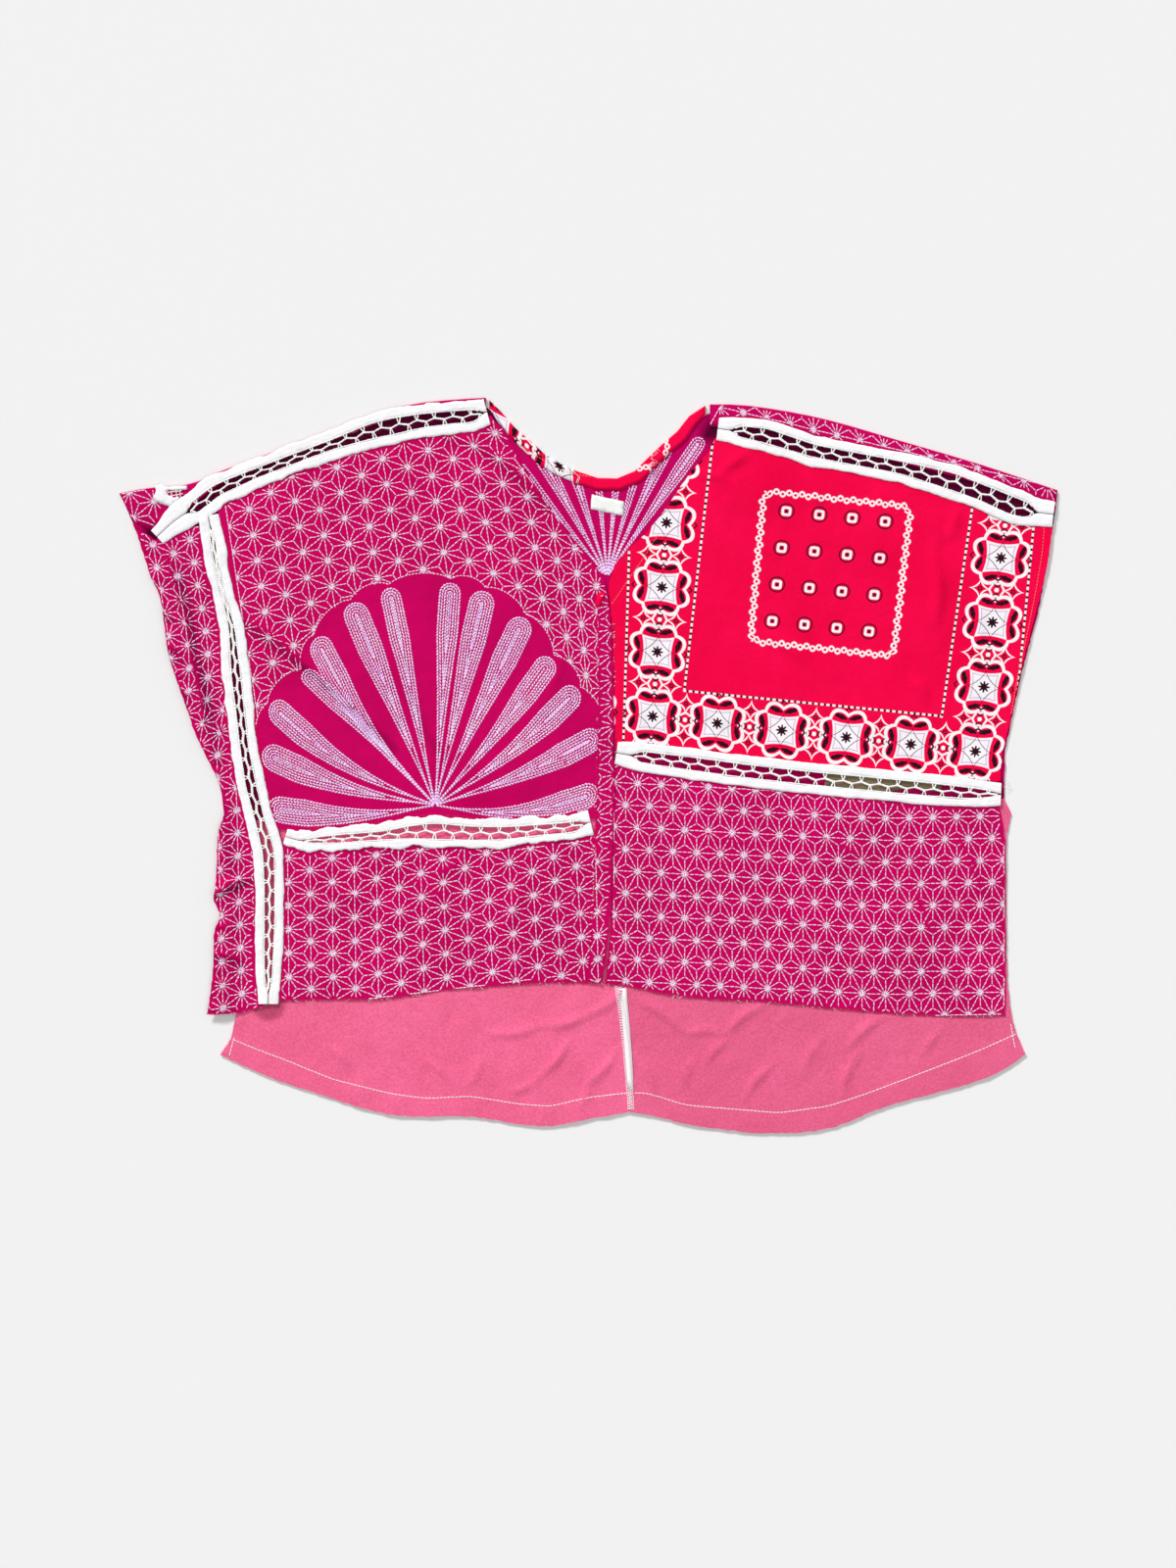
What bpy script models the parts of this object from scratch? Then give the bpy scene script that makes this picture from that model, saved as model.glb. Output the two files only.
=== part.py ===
"""A patchwork top laid flat on its back: magenta star cloth, a red bandana square and tape lace.

The garment lies in the XY plane, neck towards +Y, with its back on the surface at Z = 0.
The tables are in millimetres and hold real sizes, measured from the middle of the garment.
Run with: blender --background --python part.py
"""

import math

import bmesh
import bpy
import numpy as np

MM = 0.001

# Cloth, lace and the spaces between what is sewn together
CLOTH = 1.2
TAPE = 1.4
SEAM_GAP = 0.3
HEM_RISE = 0.9
CENTRE_THICK = 1.0
SEAM_THICK = 0.8
LABEL_THICK = 1.0
BACK_TOP = CLOTH
FRONT_BASE = BACK_TOP + SEAM_GAP
FRONT_TOP = FRONT_BASE + CLOTH
LACE_BASE = FRONT_TOP + SEAM_GAP

# Folded edges, the shoulders and the binding of the back neck: the leg under the back's edge
UNDER_LEG = 8.0
FOLD_STEPS = 4

# The net between the two tapes of the lace
TAPE_SHARE = 0.28
GAP_PITCH = 19.0
GAP_LENGTH = 15.0
NET_BAR = 1.0
LEAST_NET = 4.3
GAP_SHAPE = (
    # share of the half length, share of the net's width
    (-1.0, 1.0),
    (1.0, 1.0),
    (0.62, 0.35),
    (0.0, -0.3),
    (-0.62, 0.35),
)

# Cloth grids
CELL = 18.0
FOLD_SHARPNESS = 40.0

# Colour, from 0 to 1 in linear light, and roughness
STAR_CLOTH = ((0.50, 0.004, 0.105), 0.85)
BANDANA_CLOTH = ((0.72, 0.006, 0.045), 0.80)
FAN_CLOTH = ((0.46, 0.004, 0.13), 0.85)
PINK_CLOTH = ((0.78, 0.13, 0.24), 0.90)
LACE_THREAD = ((0.86, 0.84, 0.80), 0.90)
LABEL_TAPE = ((0.82, 0.84, 0.80), 0.70)

# Folded edges from left to right: x, y, and how far the cloth comes forward on top
SHOULDER_LEFT = (
    (-421, 244, 26),
    (-406, 247, 34),
    (-390, 250, 42),
    (-378, 250, 32),
    (-361, 251, 19),
    (-335, 262, 10),
    (-300, 275, 7.5),
    (-247, 294, 7),
    (-194, 314, 7),
    (-159, 324, 9.5),
    (-124, 328, 10.5),
    (-92, 330, 11),
)
NECK_EDGE = (
    (-89, 328, 7.5),
    (-81, 321, 7.5),
    (-71, 308, 8),
    (-53, 292, 10.5),
    (-36, 277, 10.5),
    (-10, 264, 10.5),
    (17, 257, 10.5),
    (35, 260, 10.5),
    (46, 268, 10.5),
    (59, 282, 10.5),
    (79, 299, 10.5),
    (93, 316, 9),
    (105, 323, 8),
)
SHOULDER_RIGHT = (
    (109, 324, 20),
    (125, 324, 20),
    (158, 321, 18),
    (211, 311, 20),
    (281, 291, 19),
    (352, 270, 17),
    (421, 247, 19),
)
# The way the ends of the folded edges are cut: straight down, or along the sleeve's edge
DOWN = (0.0, -1.0)
LEFT_SLEEVE = (0.45, -0.893)
RIGHT_SLEEVE = (-0.10, -0.995)

# Cut edges of the panels as they lie, x and y, along each end and down each side
SIDE_PANEL = {
    "top": ((-409, 217), (-388, 203), (-366, 211), (-346, 216)),
    "bottom": ((-342, -223), (-317, -222), (-293, -217)),
    "left": (
        (-409, 217), (-405, 208), (-399, 189), (-391, 166), (-382, 146), (-381, 133), (-379, 115),
        (-376, 98), (-364, 62), (-350, 23), (-339, 1), (-331, -17), (-326, -39), (-332, -61),
        (-333, -78), (-334, -105), (-336, -122), (-330, -133), (-336, -153), (-336, -175),
        (-338, -197), (-342, -223),
    ),
    "right": (
        (-346, 216), (-339, 190), (-333, 159), (-327, 124), (-325, 89), (-321, 45), (-316, 1),
        (-308, -30), (-298, -70), (-294, -96), (-295, -140), (-295, -184), (-293, -217),
    ),
}
FAN_PANEL = {
    "top": (
        (-334, 235), (-315, 247), (-282, 258), (-247, 271), (-212, 281), (-176, 292), (-141, 299),
        (-110, 302), (-88, 314),
    ),
    "right": (
        (-88, 314), (-81, 306), (-73, 296), (-66, 282), (-58, 267), (-46, 248), (-34, 230),
        (-18, 208), (0, 186), (16, 162), (19, 124), (21, 71), (21, 18), (19, -47),
    ),
    "left": (
        (-334, 235), (-327, 199), (-325, 159), (-312, 120), (-308, 71), (-302, 18), (-293, -26),
        (-285, -57),
    ),
    "bottom": (
        (-285, -57), (-247, -60), (-194, -59), (-168, -55), (-141, -50), (-106, -53), (-62, -52),
        (-18, -50), (19, -47),
    ),
}
LEFT_BAND = {
    "top": (
        (-278, -71), (-247, -74), (-194, -70), (-141, -69), (-88, -70), (-36, -65), (19, -57),
    ),
    "left": ((-278, -71), (-277, -105), (-278, -140), (-279, -175), (-281, -211)),
    "right": ((19, -57), (19, -105), (17, -158), (12, -195)),
    "bottom": (
        (-281, -211), (-229, -210), (-176, -209), (-132, -202), (-84, -198), (-38, -195),
        (12, -195),
    ),
}
BANDANA = {
    "top": (
        (115, 295), (149, 286), (202, 272), (255, 262), (299, 250), (352, 233), (387, 218),
        (417, 216),
    ),
    "right": (
        (417, 216), (410, 172), (403, 143), (394, 108), (387, 80), (381, 52), (375, 26), (371, 10),
        (370, -14),
    ),
    "left": (
        (115, 295), (107, 281), (95, 267), (82, 250), (70, 231), (52, 209), (35, 193), (18, 165),
        (21, 115), (22, 71), (24, 16),
    ),
    "bottom": ((24, 16), (88, 10), (158, 1), (228, -6), (299, -12), (370, -14)),
}
RIGHT_BAND = {
    "top": ((22, 2), (52, -4), (105, -10), (176, -18), (246, -25), (316, -31), (368, -32)),
    "right": ((368, -32), (373, -61), (374, -96), (373, -127), (374, -158), (374, -224)),
    "left": ((22, 2), (22, -61), (21, -105), (19, -158), (15, -196)),
    "bottom": (
        (15, -196), (35, -198), (53, -202), (88, -208), (158, -212), (211, -217), (281, -223),
        (334, -225), (374, -224),
    ),
}

# The back: the cross seam where its colour changes, the sides and the seam down its middle
BACK_SEAM_ENDS = ((-326, -50), (373, -30))
BACK_LEFT_SIDE = ((-405, 208), (-389, 166), (-380, 133), (-374, 98), (-349, 23), (-331, -14))
BACK_RIGHT_SIDE = (
    (417, 215), (411, 177), (405, 143), (399, 120), (388, 80), (378, 32), (374, 14),
)
CENTRE_BACK = ((34, -40), (32, -200), (36, -246), (38, -281), (38, -294))
LOWER_LEFT_SIDE = (
    (-326, -50.3), (-331, -78), (-331, -122), (-330, -175), (-316, -219), (-318, -235),
    (-321, -246),
)
LOWER_RIGHT_SIDE = (
    (373, -30.3), (381, -36), (376, -56), (375, -105), (375, -158), (376, -193), (380, -228),
    (384, -241),
)
# The hem of the back: its row of stitches and its turned edge, from left to right
HEM_STITCHES_LEFT = (
    (-321, -246), (-300, -254), (-273, -264), (-229, -282), (-176, -295), (-146, -299),
    (-106, -297), (-62, -304), (-34, -306), (0, -298), (38, -294),
)
HEM_EDGE_LEFT = (
    (-330, -260), (-317, -266), (-291, -278), (-238, -296), (-185, -312), (-159, -315),
    (-110, -315), (-62, -322), (-34, -324), (-9, -319), (38, -311),
)
HEM_STITCHES_RIGHT = (
    (38, -294), (52, -294), (88, -305), (123, -308), (171, -312), (215, -306), (246, -296),
    (294, -278), (338, -261), (360, -252), (384, -241),
)
HEM_EDGE_RIGHT = (
    (38, -311), (52, -313), (88, -322), (123, -327), (154, -330), (215, -326), (264, -307),
    (299, -297), (334, -288), (369, -275), (392, -259),
)
# Shares of the way from the row of stitches to the hem's edge
HEM_ROWS = (0.06, 0.5, 1.0)

# Strips on the panels: x and y down the middle, and the width there
CENTRE_STRIP = (
    (13, 152, 10),
    (15, 71, 12),
    (15, -8, 13),
    (13, -61, 13),
    (12, -105, 13),
    (9, -158, 13),
    (5, -195, 13),
)
BACK_SEAM_STRIP = (
    (31, -200, 6),
    (35, -246, 6),
    (37, -275, 6),
    (38, -291, 5),
)
LABEL_CORNERS = ((3, 243), (32, 237), (31, 224), (2, 230))
LACE_END = ((-391, 248), (-386, 237), (-379, 234), (-367, 243), (-362, 249))

# Lace strips: x and y down the middle, and the width across both tapes
LACES = {
    "lace_left_shoulder": (
        (-387, 205, 16), (-372, 219, 25), (-352, 232, 29), (-333, 247, 28), (-298, 262, 26),
        (-264, 275, 26), (-229, 288, 26), (-194, 300, 31), (-176, 304, 32), (-150, 309, 30),
        (-124, 312, 29), (-106, 313, 29), (-91, 317, 24),
    ),
    "lace_left_side": (
        (-339, 216, 15), (-337, 203, 21), (-333, 177, 20), (-328, 155, 19), (-320, 124, 22),
        (-316, 80, 25), (-313, 54, 24), (-309, 18, 24), (-303, -17, 26), (-295, -48, 25),
        (-287, -77, 27), (-286, -105, 26), (-286, -140, 26), (-287, -184, 24), (-287, -214, 18),
    ),
    "lace_under_fan": (
        (-272, -64, 14), (-259, -68, 18), (-225, -66, 22), (-185, -63, 22), (-159, -60, 26),
        (-139, -59, 29), (-106, -61, 27), (-75, -61, 26), (-44, -58, 24), (-18, -56, 24),
        (2, -51, 23),
    ),
    "lace_right_shoulder": (
        (116, 302, 20), (132, 300, 25), (158, 296, 29), (202, 282, 27), (228, 277, 27),
        (281, 267, 27), (325, 255, 31), (352, 245, 30), (382, 232, 32), (400, 227, 27),
        (417, 225, 22),
    ),
    "lace_under_bandana": (
        (25, 11, 20), (44, 8, 26), (88, 2, 28), (140, -5, 28), (193, -11, 28), (246, -16, 28),
        (299, -21, 28), (343, -25, 26), (370, -26, 20),
    ),
}
# Where each strip's net lies open: the first and last share of its length
OPEN_NET = {
    "lace_left_shoulder": (0.07, 0.97),
    "lace_left_side": (0.29, 0.94),
    "lace_under_fan": (0.08, 0.94),
    "lace_right_shoulder": (0.07, 0.90),
    "lace_under_bandana": (0.05, 0.98),
}

# Folds of the cloth: the crest's two ends, its height and its half width
FRONT_FOLDS = (
    # x0, y0, x1, y1, height, half width
    (-306, 124, -250, 84, 3.0, 20),
    (-262, 96, -176, 20, 2.6, 18),
    (-126, 288, -50, 236, 3.0, 20),
    (-250, 30, -170, -18, 2.0, 18),
    (-160, 190, -148, 120, 1.6, 18),
    (-30, 110, -44, 30, 1.8, 18),
    (-236, -120, -120, -128, 1.6, 20),
    (-60, -120, -80, -170, 1.6, 18),
    (124, 262, 162, 238, 3.0, 20),
    (196, 196, 300, 214, 1.6, 20),
    (316, 196, 302, 108, 2.4, 20),
    (262, 92, 290, 28, 1.8, 18),
    (92, 86, 132, 44, 2.0, 18),
    (334, -62, 352, -120, 2.0, 18),
    (90, -70, 200, -84, 1.4, 20),
    (180, -150, 300, -160, 1.6, 20),
)
BACK_FOLDS = (
    (10, -218, -60, -236, 3.4, 16),
    (-60, -236, -118, -240, 2.0, 15),
    (-16, -250, -74, -290, 2.6, 15),
    (16, -262, -14, -292, 2.8, 15),
    (-250, -240, -200, -252, 1.6, 16),
    (-150, -262, -90, -268, 1.6, 16),
    (62, -218, 96, -240, 3.0, 16),
    (104, -240, 158, -222, 3.0, 16),
    (106, -268, 142, -244, 2.2, 15),
    (62, -268, 108, -288, 2.0, 15),
    (232, -256, 262, -232, 3.0, 15),
    (300, -240, 336, -236, 1.8, 14),
)
# A fold's height at its two ends, as a share of its crest
FOLD_ENDS = 0.35
# How near the lace a fold may come, and over what length it dies out
CALM_EDGE = 1.0
CALM_REACH = 11.0
# The back rises only below the front's hem, where nothing lies on it
HEM_CLEAR = 2.0
FREE_REACH = 20.0
STRIP_REACH = 9.0

# The gathered strip down the left side: its section from the outer edge to the seam, and the
# waves that the thread pulls it into
SIDE_SECTION = (
    # share of the width, height
    (0.0, 0.8),
    (0.16, 2.4),
    (0.34, 1.8),
    (0.46, 0.3),
    (0.62, 1.6),
    (0.82, 1.0),
    (1.0, 0.0),
)
GATHERS = 25
GATHER_STEPS = 3
GATHER_HEIGHT = 1.4
GATHER_FADE = 0.6


def lengths_along(table):
    steps = np.linalg.norm(np.diff(table[:, :2], axis=0), axis=1)
    return np.concatenate([[0.0], np.cumsum(steps)])


def along(points, shares):
    """Points at these shares of the length of a smooth line through the table's points."""
    table = np.array(points, float)
    length = lengths_along(table)
    wanted = np.asarray(shares, float) * length[-1]
    if len(table) == 2:
        return table[0] + np.asarray(shares)[:, None] * (table[1] - table[0])
    slope = np.diff(table, axis=0) / np.diff(length)[:, None]
    # A slope of nought at each turning point keeps the line from swinging past it
    middle = np.where(slope[:-1] * slope[1:] <= 0, 0.0, (slope[:-1] + slope[1:]) / 2)
    tangent = np.vstack([slope[:1], middle, slope[-1:]])
    cell = np.clip(np.searchsorted(length, wanted, side="right") - 1, 0, len(slope) - 1)
    span = np.diff(length)[cell][:, None]
    t = (wanted - length[cell])[:, None] / span
    return (
        (2 * t**3 - 3 * t**2 + 1) * table[cell]
        + (t**3 - 2 * t**2 + t) * span * tangent[cell]
        + (3 * t**2 - 2 * t**3) * table[cell + 1]
        + (t**3 - t**2) * span * tangent[cell + 1]
    )


def length_of(points):
    return float(lengths_along(np.array(points, float))[-1])


def spread(count):
    return np.linspace(0.0, 1.0, count + 1)


def cells_in(points):
    return max(2, round(length_of(points) / CELL))


def heading_of(stations):
    heading = np.gradient(stations[:, :2], axis=0)
    return heading / np.linalg.norm(heading, axis=1)[:, None]


def patch(edges, columns, rows):
    """A grid of points inside four edges. Rows run from the top edge down to the bottom one."""
    top, bottom = along(edges["top"], columns), along(edges["bottom"], columns)
    left, right = along(edges["left"], rows), along(edges["right"], rows)
    u, v = np.asarray(columns)[None, :, None], np.asarray(rows)[:, None, None]
    between = (1 - v) * top[None] + v * bottom[None]
    between = between + (1 - u) * left[:, None] + u * right[:, None]
    corners = (1 - u) * (1 - v) * top[0] + u * (1 - v) * top[-1]
    corners = corners + (1 - u) * v * bottom[0] + u * v * bottom[-1]
    return between - corners


def distance_to(points, line):
    """Distance from each point to a line of points."""
    table = np.array(line, float)[:, :2]
    nearest = np.full(points.shape[:-1], np.inf)
    for start, end in zip(table[:-1], table[1:]):
        run = end - start
        share = np.clip(((points - start) @ run) / (run @ run), 0.0, 1.0)
        away = np.linalg.norm(points - start - share[..., None] * run, axis=-1)
        nearest = np.minimum(nearest, away)
    return nearest


def ease(share):
    share = np.clip(share, 0.0, 1.0)
    return share * share * (3 - 2 * share)


def fold_height(points, folds):
    """How high the folds lift the cloth at these points. A fold is lower at its ends."""
    height = np.zeros(points.shape[:-1])
    for x0, y0, x1, y1, crest, half in folds:
        start, run = np.array([x0, y0], float), np.array([x1 - x0, y1 - y0], float)
        share = np.clip(((points - start) @ run) / (run @ run), 0.0, 1.0)
        away = np.linalg.norm(points - start - share[..., None] * run, axis=-1)
        across = np.clip(1 - (away / half) ** 2, 0.0, 1.0) ** 2
        arch = FOLD_ENDS + (1 - FOLD_ENDS) * np.sin(math.pi * share)
        height = np.maximum(height, crest * across * arch)
    return height


def lowest_near(values):
    """The lowest of each point of a grid and the points beside it."""
    rows, columns = values.shape
    ringed = np.pad(values, 1, mode="edge")
    views = [ringed[i:i + rows, j:j + columns] for i in range(3) for j in range(3)]
    return np.min(views, axis=0)


def calm(grid):
    """Nought where the cloth is sewn flat under the lace and the centre strip, and 1 elsewhere."""
    away = np.full(grid.shape[:-1], np.inf)
    for table in [*LACES.values(), CENTRE_STRIP]:
        half = max(row[2] for row in table) / 2
        away = np.minimum(away, distance_to(grid, table) - half)
    return lowest_near(ease((away - CALM_EDGE) / CALM_REACH))


def front_hem(x):
    """Where the front's lower edge lies, from the left side to the right one."""
    table = (*SIDE_PANEL["bottom"], *LEFT_BAND["bottom"], *RIGHT_BAND["bottom"])
    return np.interp(x, *zip(*table))


def back_lift(points):
    free = ease((front_hem(points[..., 0]) - HEM_CLEAR - points[..., 1]) / FREE_REACH)
    clear = ease((distance_to(points, BACK_SEAM_STRIP) - STRIP_REACH / 2) / STRIP_REACH)
    return fold_height(points, BACK_FOLDS) * lowest_near(free * clear)


def material_for(name, look):
    colour, roughness = look
    material = bpy.data.materials.new(name)
    material.use_nodes = True
    shader = material.node_tree.nodes["Principled BSDF"]
    shader.inputs["Base Color"].default_value = (*colour, 1.0)
    shader.inputs["Roughness"].default_value = roughness
    shader.inputs["Metallic"].default_value = 0.0
    material.diffuse_color = (*colour, 1.0)
    return material


def place(name, mesh, look):
    solid = bpy.data.objects.new(name, mesh)
    mesh.materials.append(material_for(name, look))
    mesh.shade_smooth()
    mesh.set_sharp_from_angle(angle=math.radians(FOLD_SHARPNESS))
    bpy.context.scene.collection.objects.link(solid)
    return solid


def solid_from(name, points, faces, look):
    """A solid from points in millimetres, with its faces turned outwards."""
    body = bmesh.new()
    corners = [body.verts.new([value * MM for value in point]) for point in points]
    for face in faces:
        body.faces.new([corners[i] for i in face])
    return close(name, body, look)


def close(name, body, look):
    bmesh.ops.recalc_face_normals(body, faces=body.faces)
    mesh = bpy.data.meshes.new(name)
    body.to_mesh(mesh)
    body.free()
    return place(name, mesh, look)


def wall(name, grid, upper, lower, look):
    """A cloth wall between an upper and a lower height over a grid of points."""
    rows, columns = grid.shape[:2]
    count = rows * columns
    flat = grid.reshape(-1, 2)
    points = []
    for height in (upper, lower):
        levels = np.broadcast_to(height, (rows, columns)).ravel()
        points += [(x, y, z) for (x, y), z in zip(flat, levels)]
    faces = []
    for i in range(rows - 1):
        for j in range(columns - 1):
            corner = i * columns + j
            quad = (corner, corner + 1, corner + columns + 1, corner + columns)
            faces.append(quad)
            faces.append(tuple(count + k for k in reversed(quad)))
    rim = list(range(columns))
    rim += [i * columns + columns - 1 for i in range(1, rows)]
    rim += [(rows - 1) * columns + j for j in range(columns - 2, -1, -1)]
    rim += [i * columns for i in range(rows - 2, 0, -1)]
    for a, b in zip(rim, rim[1:] + rim[:1]):
        faces.append((b, a, count + a, count + b))
    return solid_from(name, points, faces, look)


def slab(name, loops, base, thick, look):
    """A flat sheet inside its first loop of points, with a hole at each further loop."""
    body = bmesh.new()
    for loop in loops:
        corners = [body.verts.new((x * MM, y * MM, base * MM)) for x, y in loop]
        for a, b in zip(corners, corners[1:] + corners[:1]):
            body.edges.new((a, b))
    bmesh.ops.triangle_fill(body, use_beauty=True, use_dissolve=False, edges=body.edges)
    raised = bmesh.ops.extrude_face_region(body, geom=body.faces[:])["geom"]
    lifted = [item for item in raised if isinstance(item, bmesh.types.BMVert)]
    bmesh.ops.translate(body, verts=lifted, vec=(0, 0, thick * MM))
    return close(name, body, look)


def front_panel(name, edges, look):
    columns = spread(max(cells_in(edges["top"]), cells_in(edges["bottom"])))
    rows = spread(max(cells_in(edges["left"]), cells_in(edges["right"])))
    grid = patch(edges, columns, rows)
    lift = fold_height(grid, FRONT_FOLDS) * calm(grid)
    return wall(name, grid, FRONT_TOP + lift, FRONT_BASE + lift, look)


def side_strip(name, edges, look):
    """The gathered strip: a puffed section with waves that are strongest at the outer edge."""
    shares = [share for share, _ in SIDE_SECTION]
    section = np.array([height for _, height in SIDE_SECTION])
    rows = spread(GATHERS * GATHER_STEPS)
    grid = patch(edges, shares, rows)
    wave = (1 - np.cos(2 * math.pi * GATHERS * rows)) / 2 * GATHER_HEIGHT
    lift = section[None, :] + wave[:, None] * (1 - GATHER_FADE * np.array(shares))[None, :]
    lift = lift * calm(grid)
    return wall(name, grid, FRONT_TOP + lift, FRONT_BASE + lift, look)


def fold_line(table, first, last):
    """Stations along a folded edge, and the way inwards from each one."""
    stations = along(table, spread(cells_in(table)))
    heading = heading_of(stations)
    inward = np.stack([heading[:, 1], -heading[:, 0]], axis=1)
    inward[0], inward[-1] = first, last
    return stations, inward


def folded_edge(name, line, look):
    """Cloth folded over an edge: a short leg under, a round fold, and a leg on top."""
    stations, inward = line
    outer, inner = FRONT_TOP / 2, SEAM_GAP / 2
    turn = np.linspace(-math.pi / 2, math.pi / 2, FOLD_STEPS + 1)
    rings = []
    for (x, y, forward), side in zip(stations, inward):
        section = [(UNDER_LEG, 0.0)]
        section += [(outer * (1 - math.cos(a)), outer * (1 + math.sin(a))) for a in turn]
        section += [(forward, FRONT_TOP), (forward, FRONT_BASE), (outer, FRONT_BASE)]
        section += [(outer - inner, outer), (outer, BACK_TOP), (UNDER_LEG, BACK_TOP)]
        rings.append([(x + side[0] * d, y + side[1] * d, z) for d, z in section])
    size = len(rings[0])
    points = [point for ring in rings for point in ring]
    faces = []
    for i in range(len(rings) - 1):
        for j in range(size):
            k = (j + 1) % size
            faces.append((i * size + j, i * size + k, (i + 1) * size + k, (i + 1) * size + j))
    bend_end = FOLD_STEPS + 1
    lower_leg = (0, 1, size - 2, size - 1)
    upper_leg = (bend_end, bend_end + 1, bend_end + 2, bend_end + 3)
    bend = (*range(1, bend_end + 1), bend_end + 3, bend_end + 4, size - 2)
    for ring_start in (0, (len(rings) - 1) * size):
        faces += [tuple(ring_start + k for k in part) for part in (lower_leg, upper_leg, bend)]
    return solid_from(name, points, faces, look)


def flat_strip(name, table, base, thick, look):
    """A flat strip along a line, as wide as the table says."""
    stations = along(table, spread(cells_in(table)))
    heading = heading_of(stations)
    half_side = np.stack([-heading[:, 1], heading[:, 0]], axis=1) * stations[:, 2:3] / 2
    grid = np.stack([stations[:, :2] - half_side, stations[:, :2] + half_side], axis=1)
    return wall(name, grid, base + thick, base, look)


def lace_strip(name, table, look):
    """Two tapes joined by a net with two rows of gaps, each wide at its tape and pointed inwards."""
    length = length_of(table)
    stations = along(table, spread(cells_in(table)))
    heading = heading_of(stations)
    across = np.stack([-heading[:, 1], heading[:, 0]], axis=1)
    top = stations[:, :2] + across * stations[:, 2:3] / 2
    low = stations[:, :2] - across * stations[:, 2:3] / 2
    at = np.linspace(0.0, length, len(stations))

    def on_strip(run, offset):
        centre = np.array([np.interp(run, at, stations[:, k]) for k in (0, 1)])
        return centre + np.array([np.interp(run, at, across[:, k]) for k in (0, 1)]) * offset

    loops = [[*top, *low[::-1]]]
    first, last = (share * length for share in OPEN_NET[name])
    half = GAP_LENGTH / 2
    for row, shift in ((1, 0.5), (-1, 1.0)):
        for run in np.arange(first + GAP_PITCH * shift, last - half, GAP_PITCH):
            net = np.interp(run, at, stations[:, 2]) * (0.5 - TAPE_SHARE)
            if net + NET_BAR < LEAST_NET:
                continue
            loops.append([
                on_strip(run + half * along_it, row * (NET_BAR + net * outward))
                for along_it, outward in GAP_SHAPE
            ])
    return slab(name, loops, LACE_BASE, TAPE, look)


def back_upper(look, lines):
    """The back down to its cross seam. Its top butts the legs of the folded edges."""
    outline = []
    for stations, inward in lines:
        outline += [tuple(p) for p in stations[:, :2] + inward * (UNDER_LEG + SEAM_GAP)]
    outline += [*BACK_RIGHT_SIDE, BACK_SEAM_ENDS[1], BACK_SEAM_ENDS[0], *BACK_LEFT_SIDE[::-1]]
    return slab("back_upper", [outline], 0.0, BACK_TOP, look)


def back_half(name, side, stitches, hem_edge, toward, look):
    """A lower half of the back, left or right of the seam down its middle by half a seam gap."""
    side, centre, stitches, hem_edge = (
        [(x + toward * SEAM_GAP / 2, y) for x, y in table]
        for table in (side, CENTRE_BACK, stitches, hem_edge)
    )
    left, right = (side, centre) if toward < 0 else (centre, side)
    edges = {"top": (left[0], right[0]), "left": left, "right": right, "bottom": stitches}
    columns, rows = spread(cells_in(stitches)), spread(cells_in(side))
    cloth = patch(edges, columns, rows)
    lift = back_lift(cloth)
    lift[-1] = 0.0
    # The hem is turned up and stitched, so the cloth is thicker there
    inner, outer = along(stitches, columns), along(hem_edge, columns)
    hem = np.stack([inner + (outer - inner) * share for share in HEM_ROWS])
    raised = np.concatenate([lift, np.full(hem.shape[:2], HEM_RISE)])
    beneath = np.concatenate([lift, np.zeros(hem.shape[:2])])
    return wall(name, np.concatenate([cloth, hem]), BACK_TOP + raised, beneath, look)


def build_back():
    shoulder_left = fold_line(SHOULDER_LEFT, LEFT_SLEEVE, DOWN)
    neck = fold_line(NECK_EDGE, DOWN, DOWN)
    shoulder_right = fold_line(SHOULDER_RIGHT, DOWN, RIGHT_SLEEVE)
    back_upper(STAR_CLOTH, (shoulder_left, neck, shoulder_right))
    folded_edge("yoke_left", shoulder_left, STAR_CLOTH)
    folded_edge("yoke_right", shoulder_right, STAR_CLOTH)
    folded_edge("neck_binding", neck, BANDANA_CLOTH)
    back_half("back_lower_left", LOWER_LEFT_SIDE, HEM_STITCHES_LEFT, HEM_EDGE_LEFT, -1, PINK_CLOTH)
    back_half(
        "back_lower_right", LOWER_RIGHT_SIDE, HEM_STITCHES_RIGHT, HEM_EDGE_RIGHT, 1, PINK_CLOTH
    )
    flat_strip("back_seam_edge", BACK_SEAM_STRIP, BACK_TOP + SEAM_GAP, SEAM_THICK, LACE_THREAD)


def build_front():
    side_strip("front_left_side", SIDE_PANEL, STAR_CLOTH)
    front_panel("front_left_fan", FAN_PANEL, FAN_CLOTH)
    front_panel("front_left_band", LEFT_BAND, STAR_CLOTH)
    front_panel("front_right_bandana", BANDANA, BANDANA_CLOTH)
    front_panel("front_right_band", RIGHT_BAND, STAR_CLOTH)
    flat_strip("front_centre_strip", CENTRE_STRIP, LACE_BASE, CENTRE_THICK, STAR_CLOTH)


def build_trim():
    slab("label", [LABEL_CORNERS], BACK_TOP + SEAM_GAP, LABEL_THICK, LABEL_TAPE)
    slab("lace_end", [LACE_END], LACE_BASE, TAPE, LACE_THREAD)
    for name, table in LACES.items():
        lace_strip(name, table, LACE_THREAD)


for old in list(bpy.data.objects):
    bpy.data.objects.remove(old, do_unlink=True)
build_back()
build_front()
build_trim()
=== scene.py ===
# %% [markdown]
# # A patchwork top, laid flat
# The top is sewn from panels: magenta cloth covered in stitched hemp-leaf stars, a panel with
# an embroidered fan, a red bandana square, and white tape lace let in between them. The frame
# gives each piece its place. This script gives the cloth its creases, and adds the sewing, the
# lace threads, the print and the frayed edges. It works in metres, and the small tables are in
# millimetres, because that is how a maker would measure a garment.

# %% Libraries and the frame
import math
from functools import partialmethod

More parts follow.
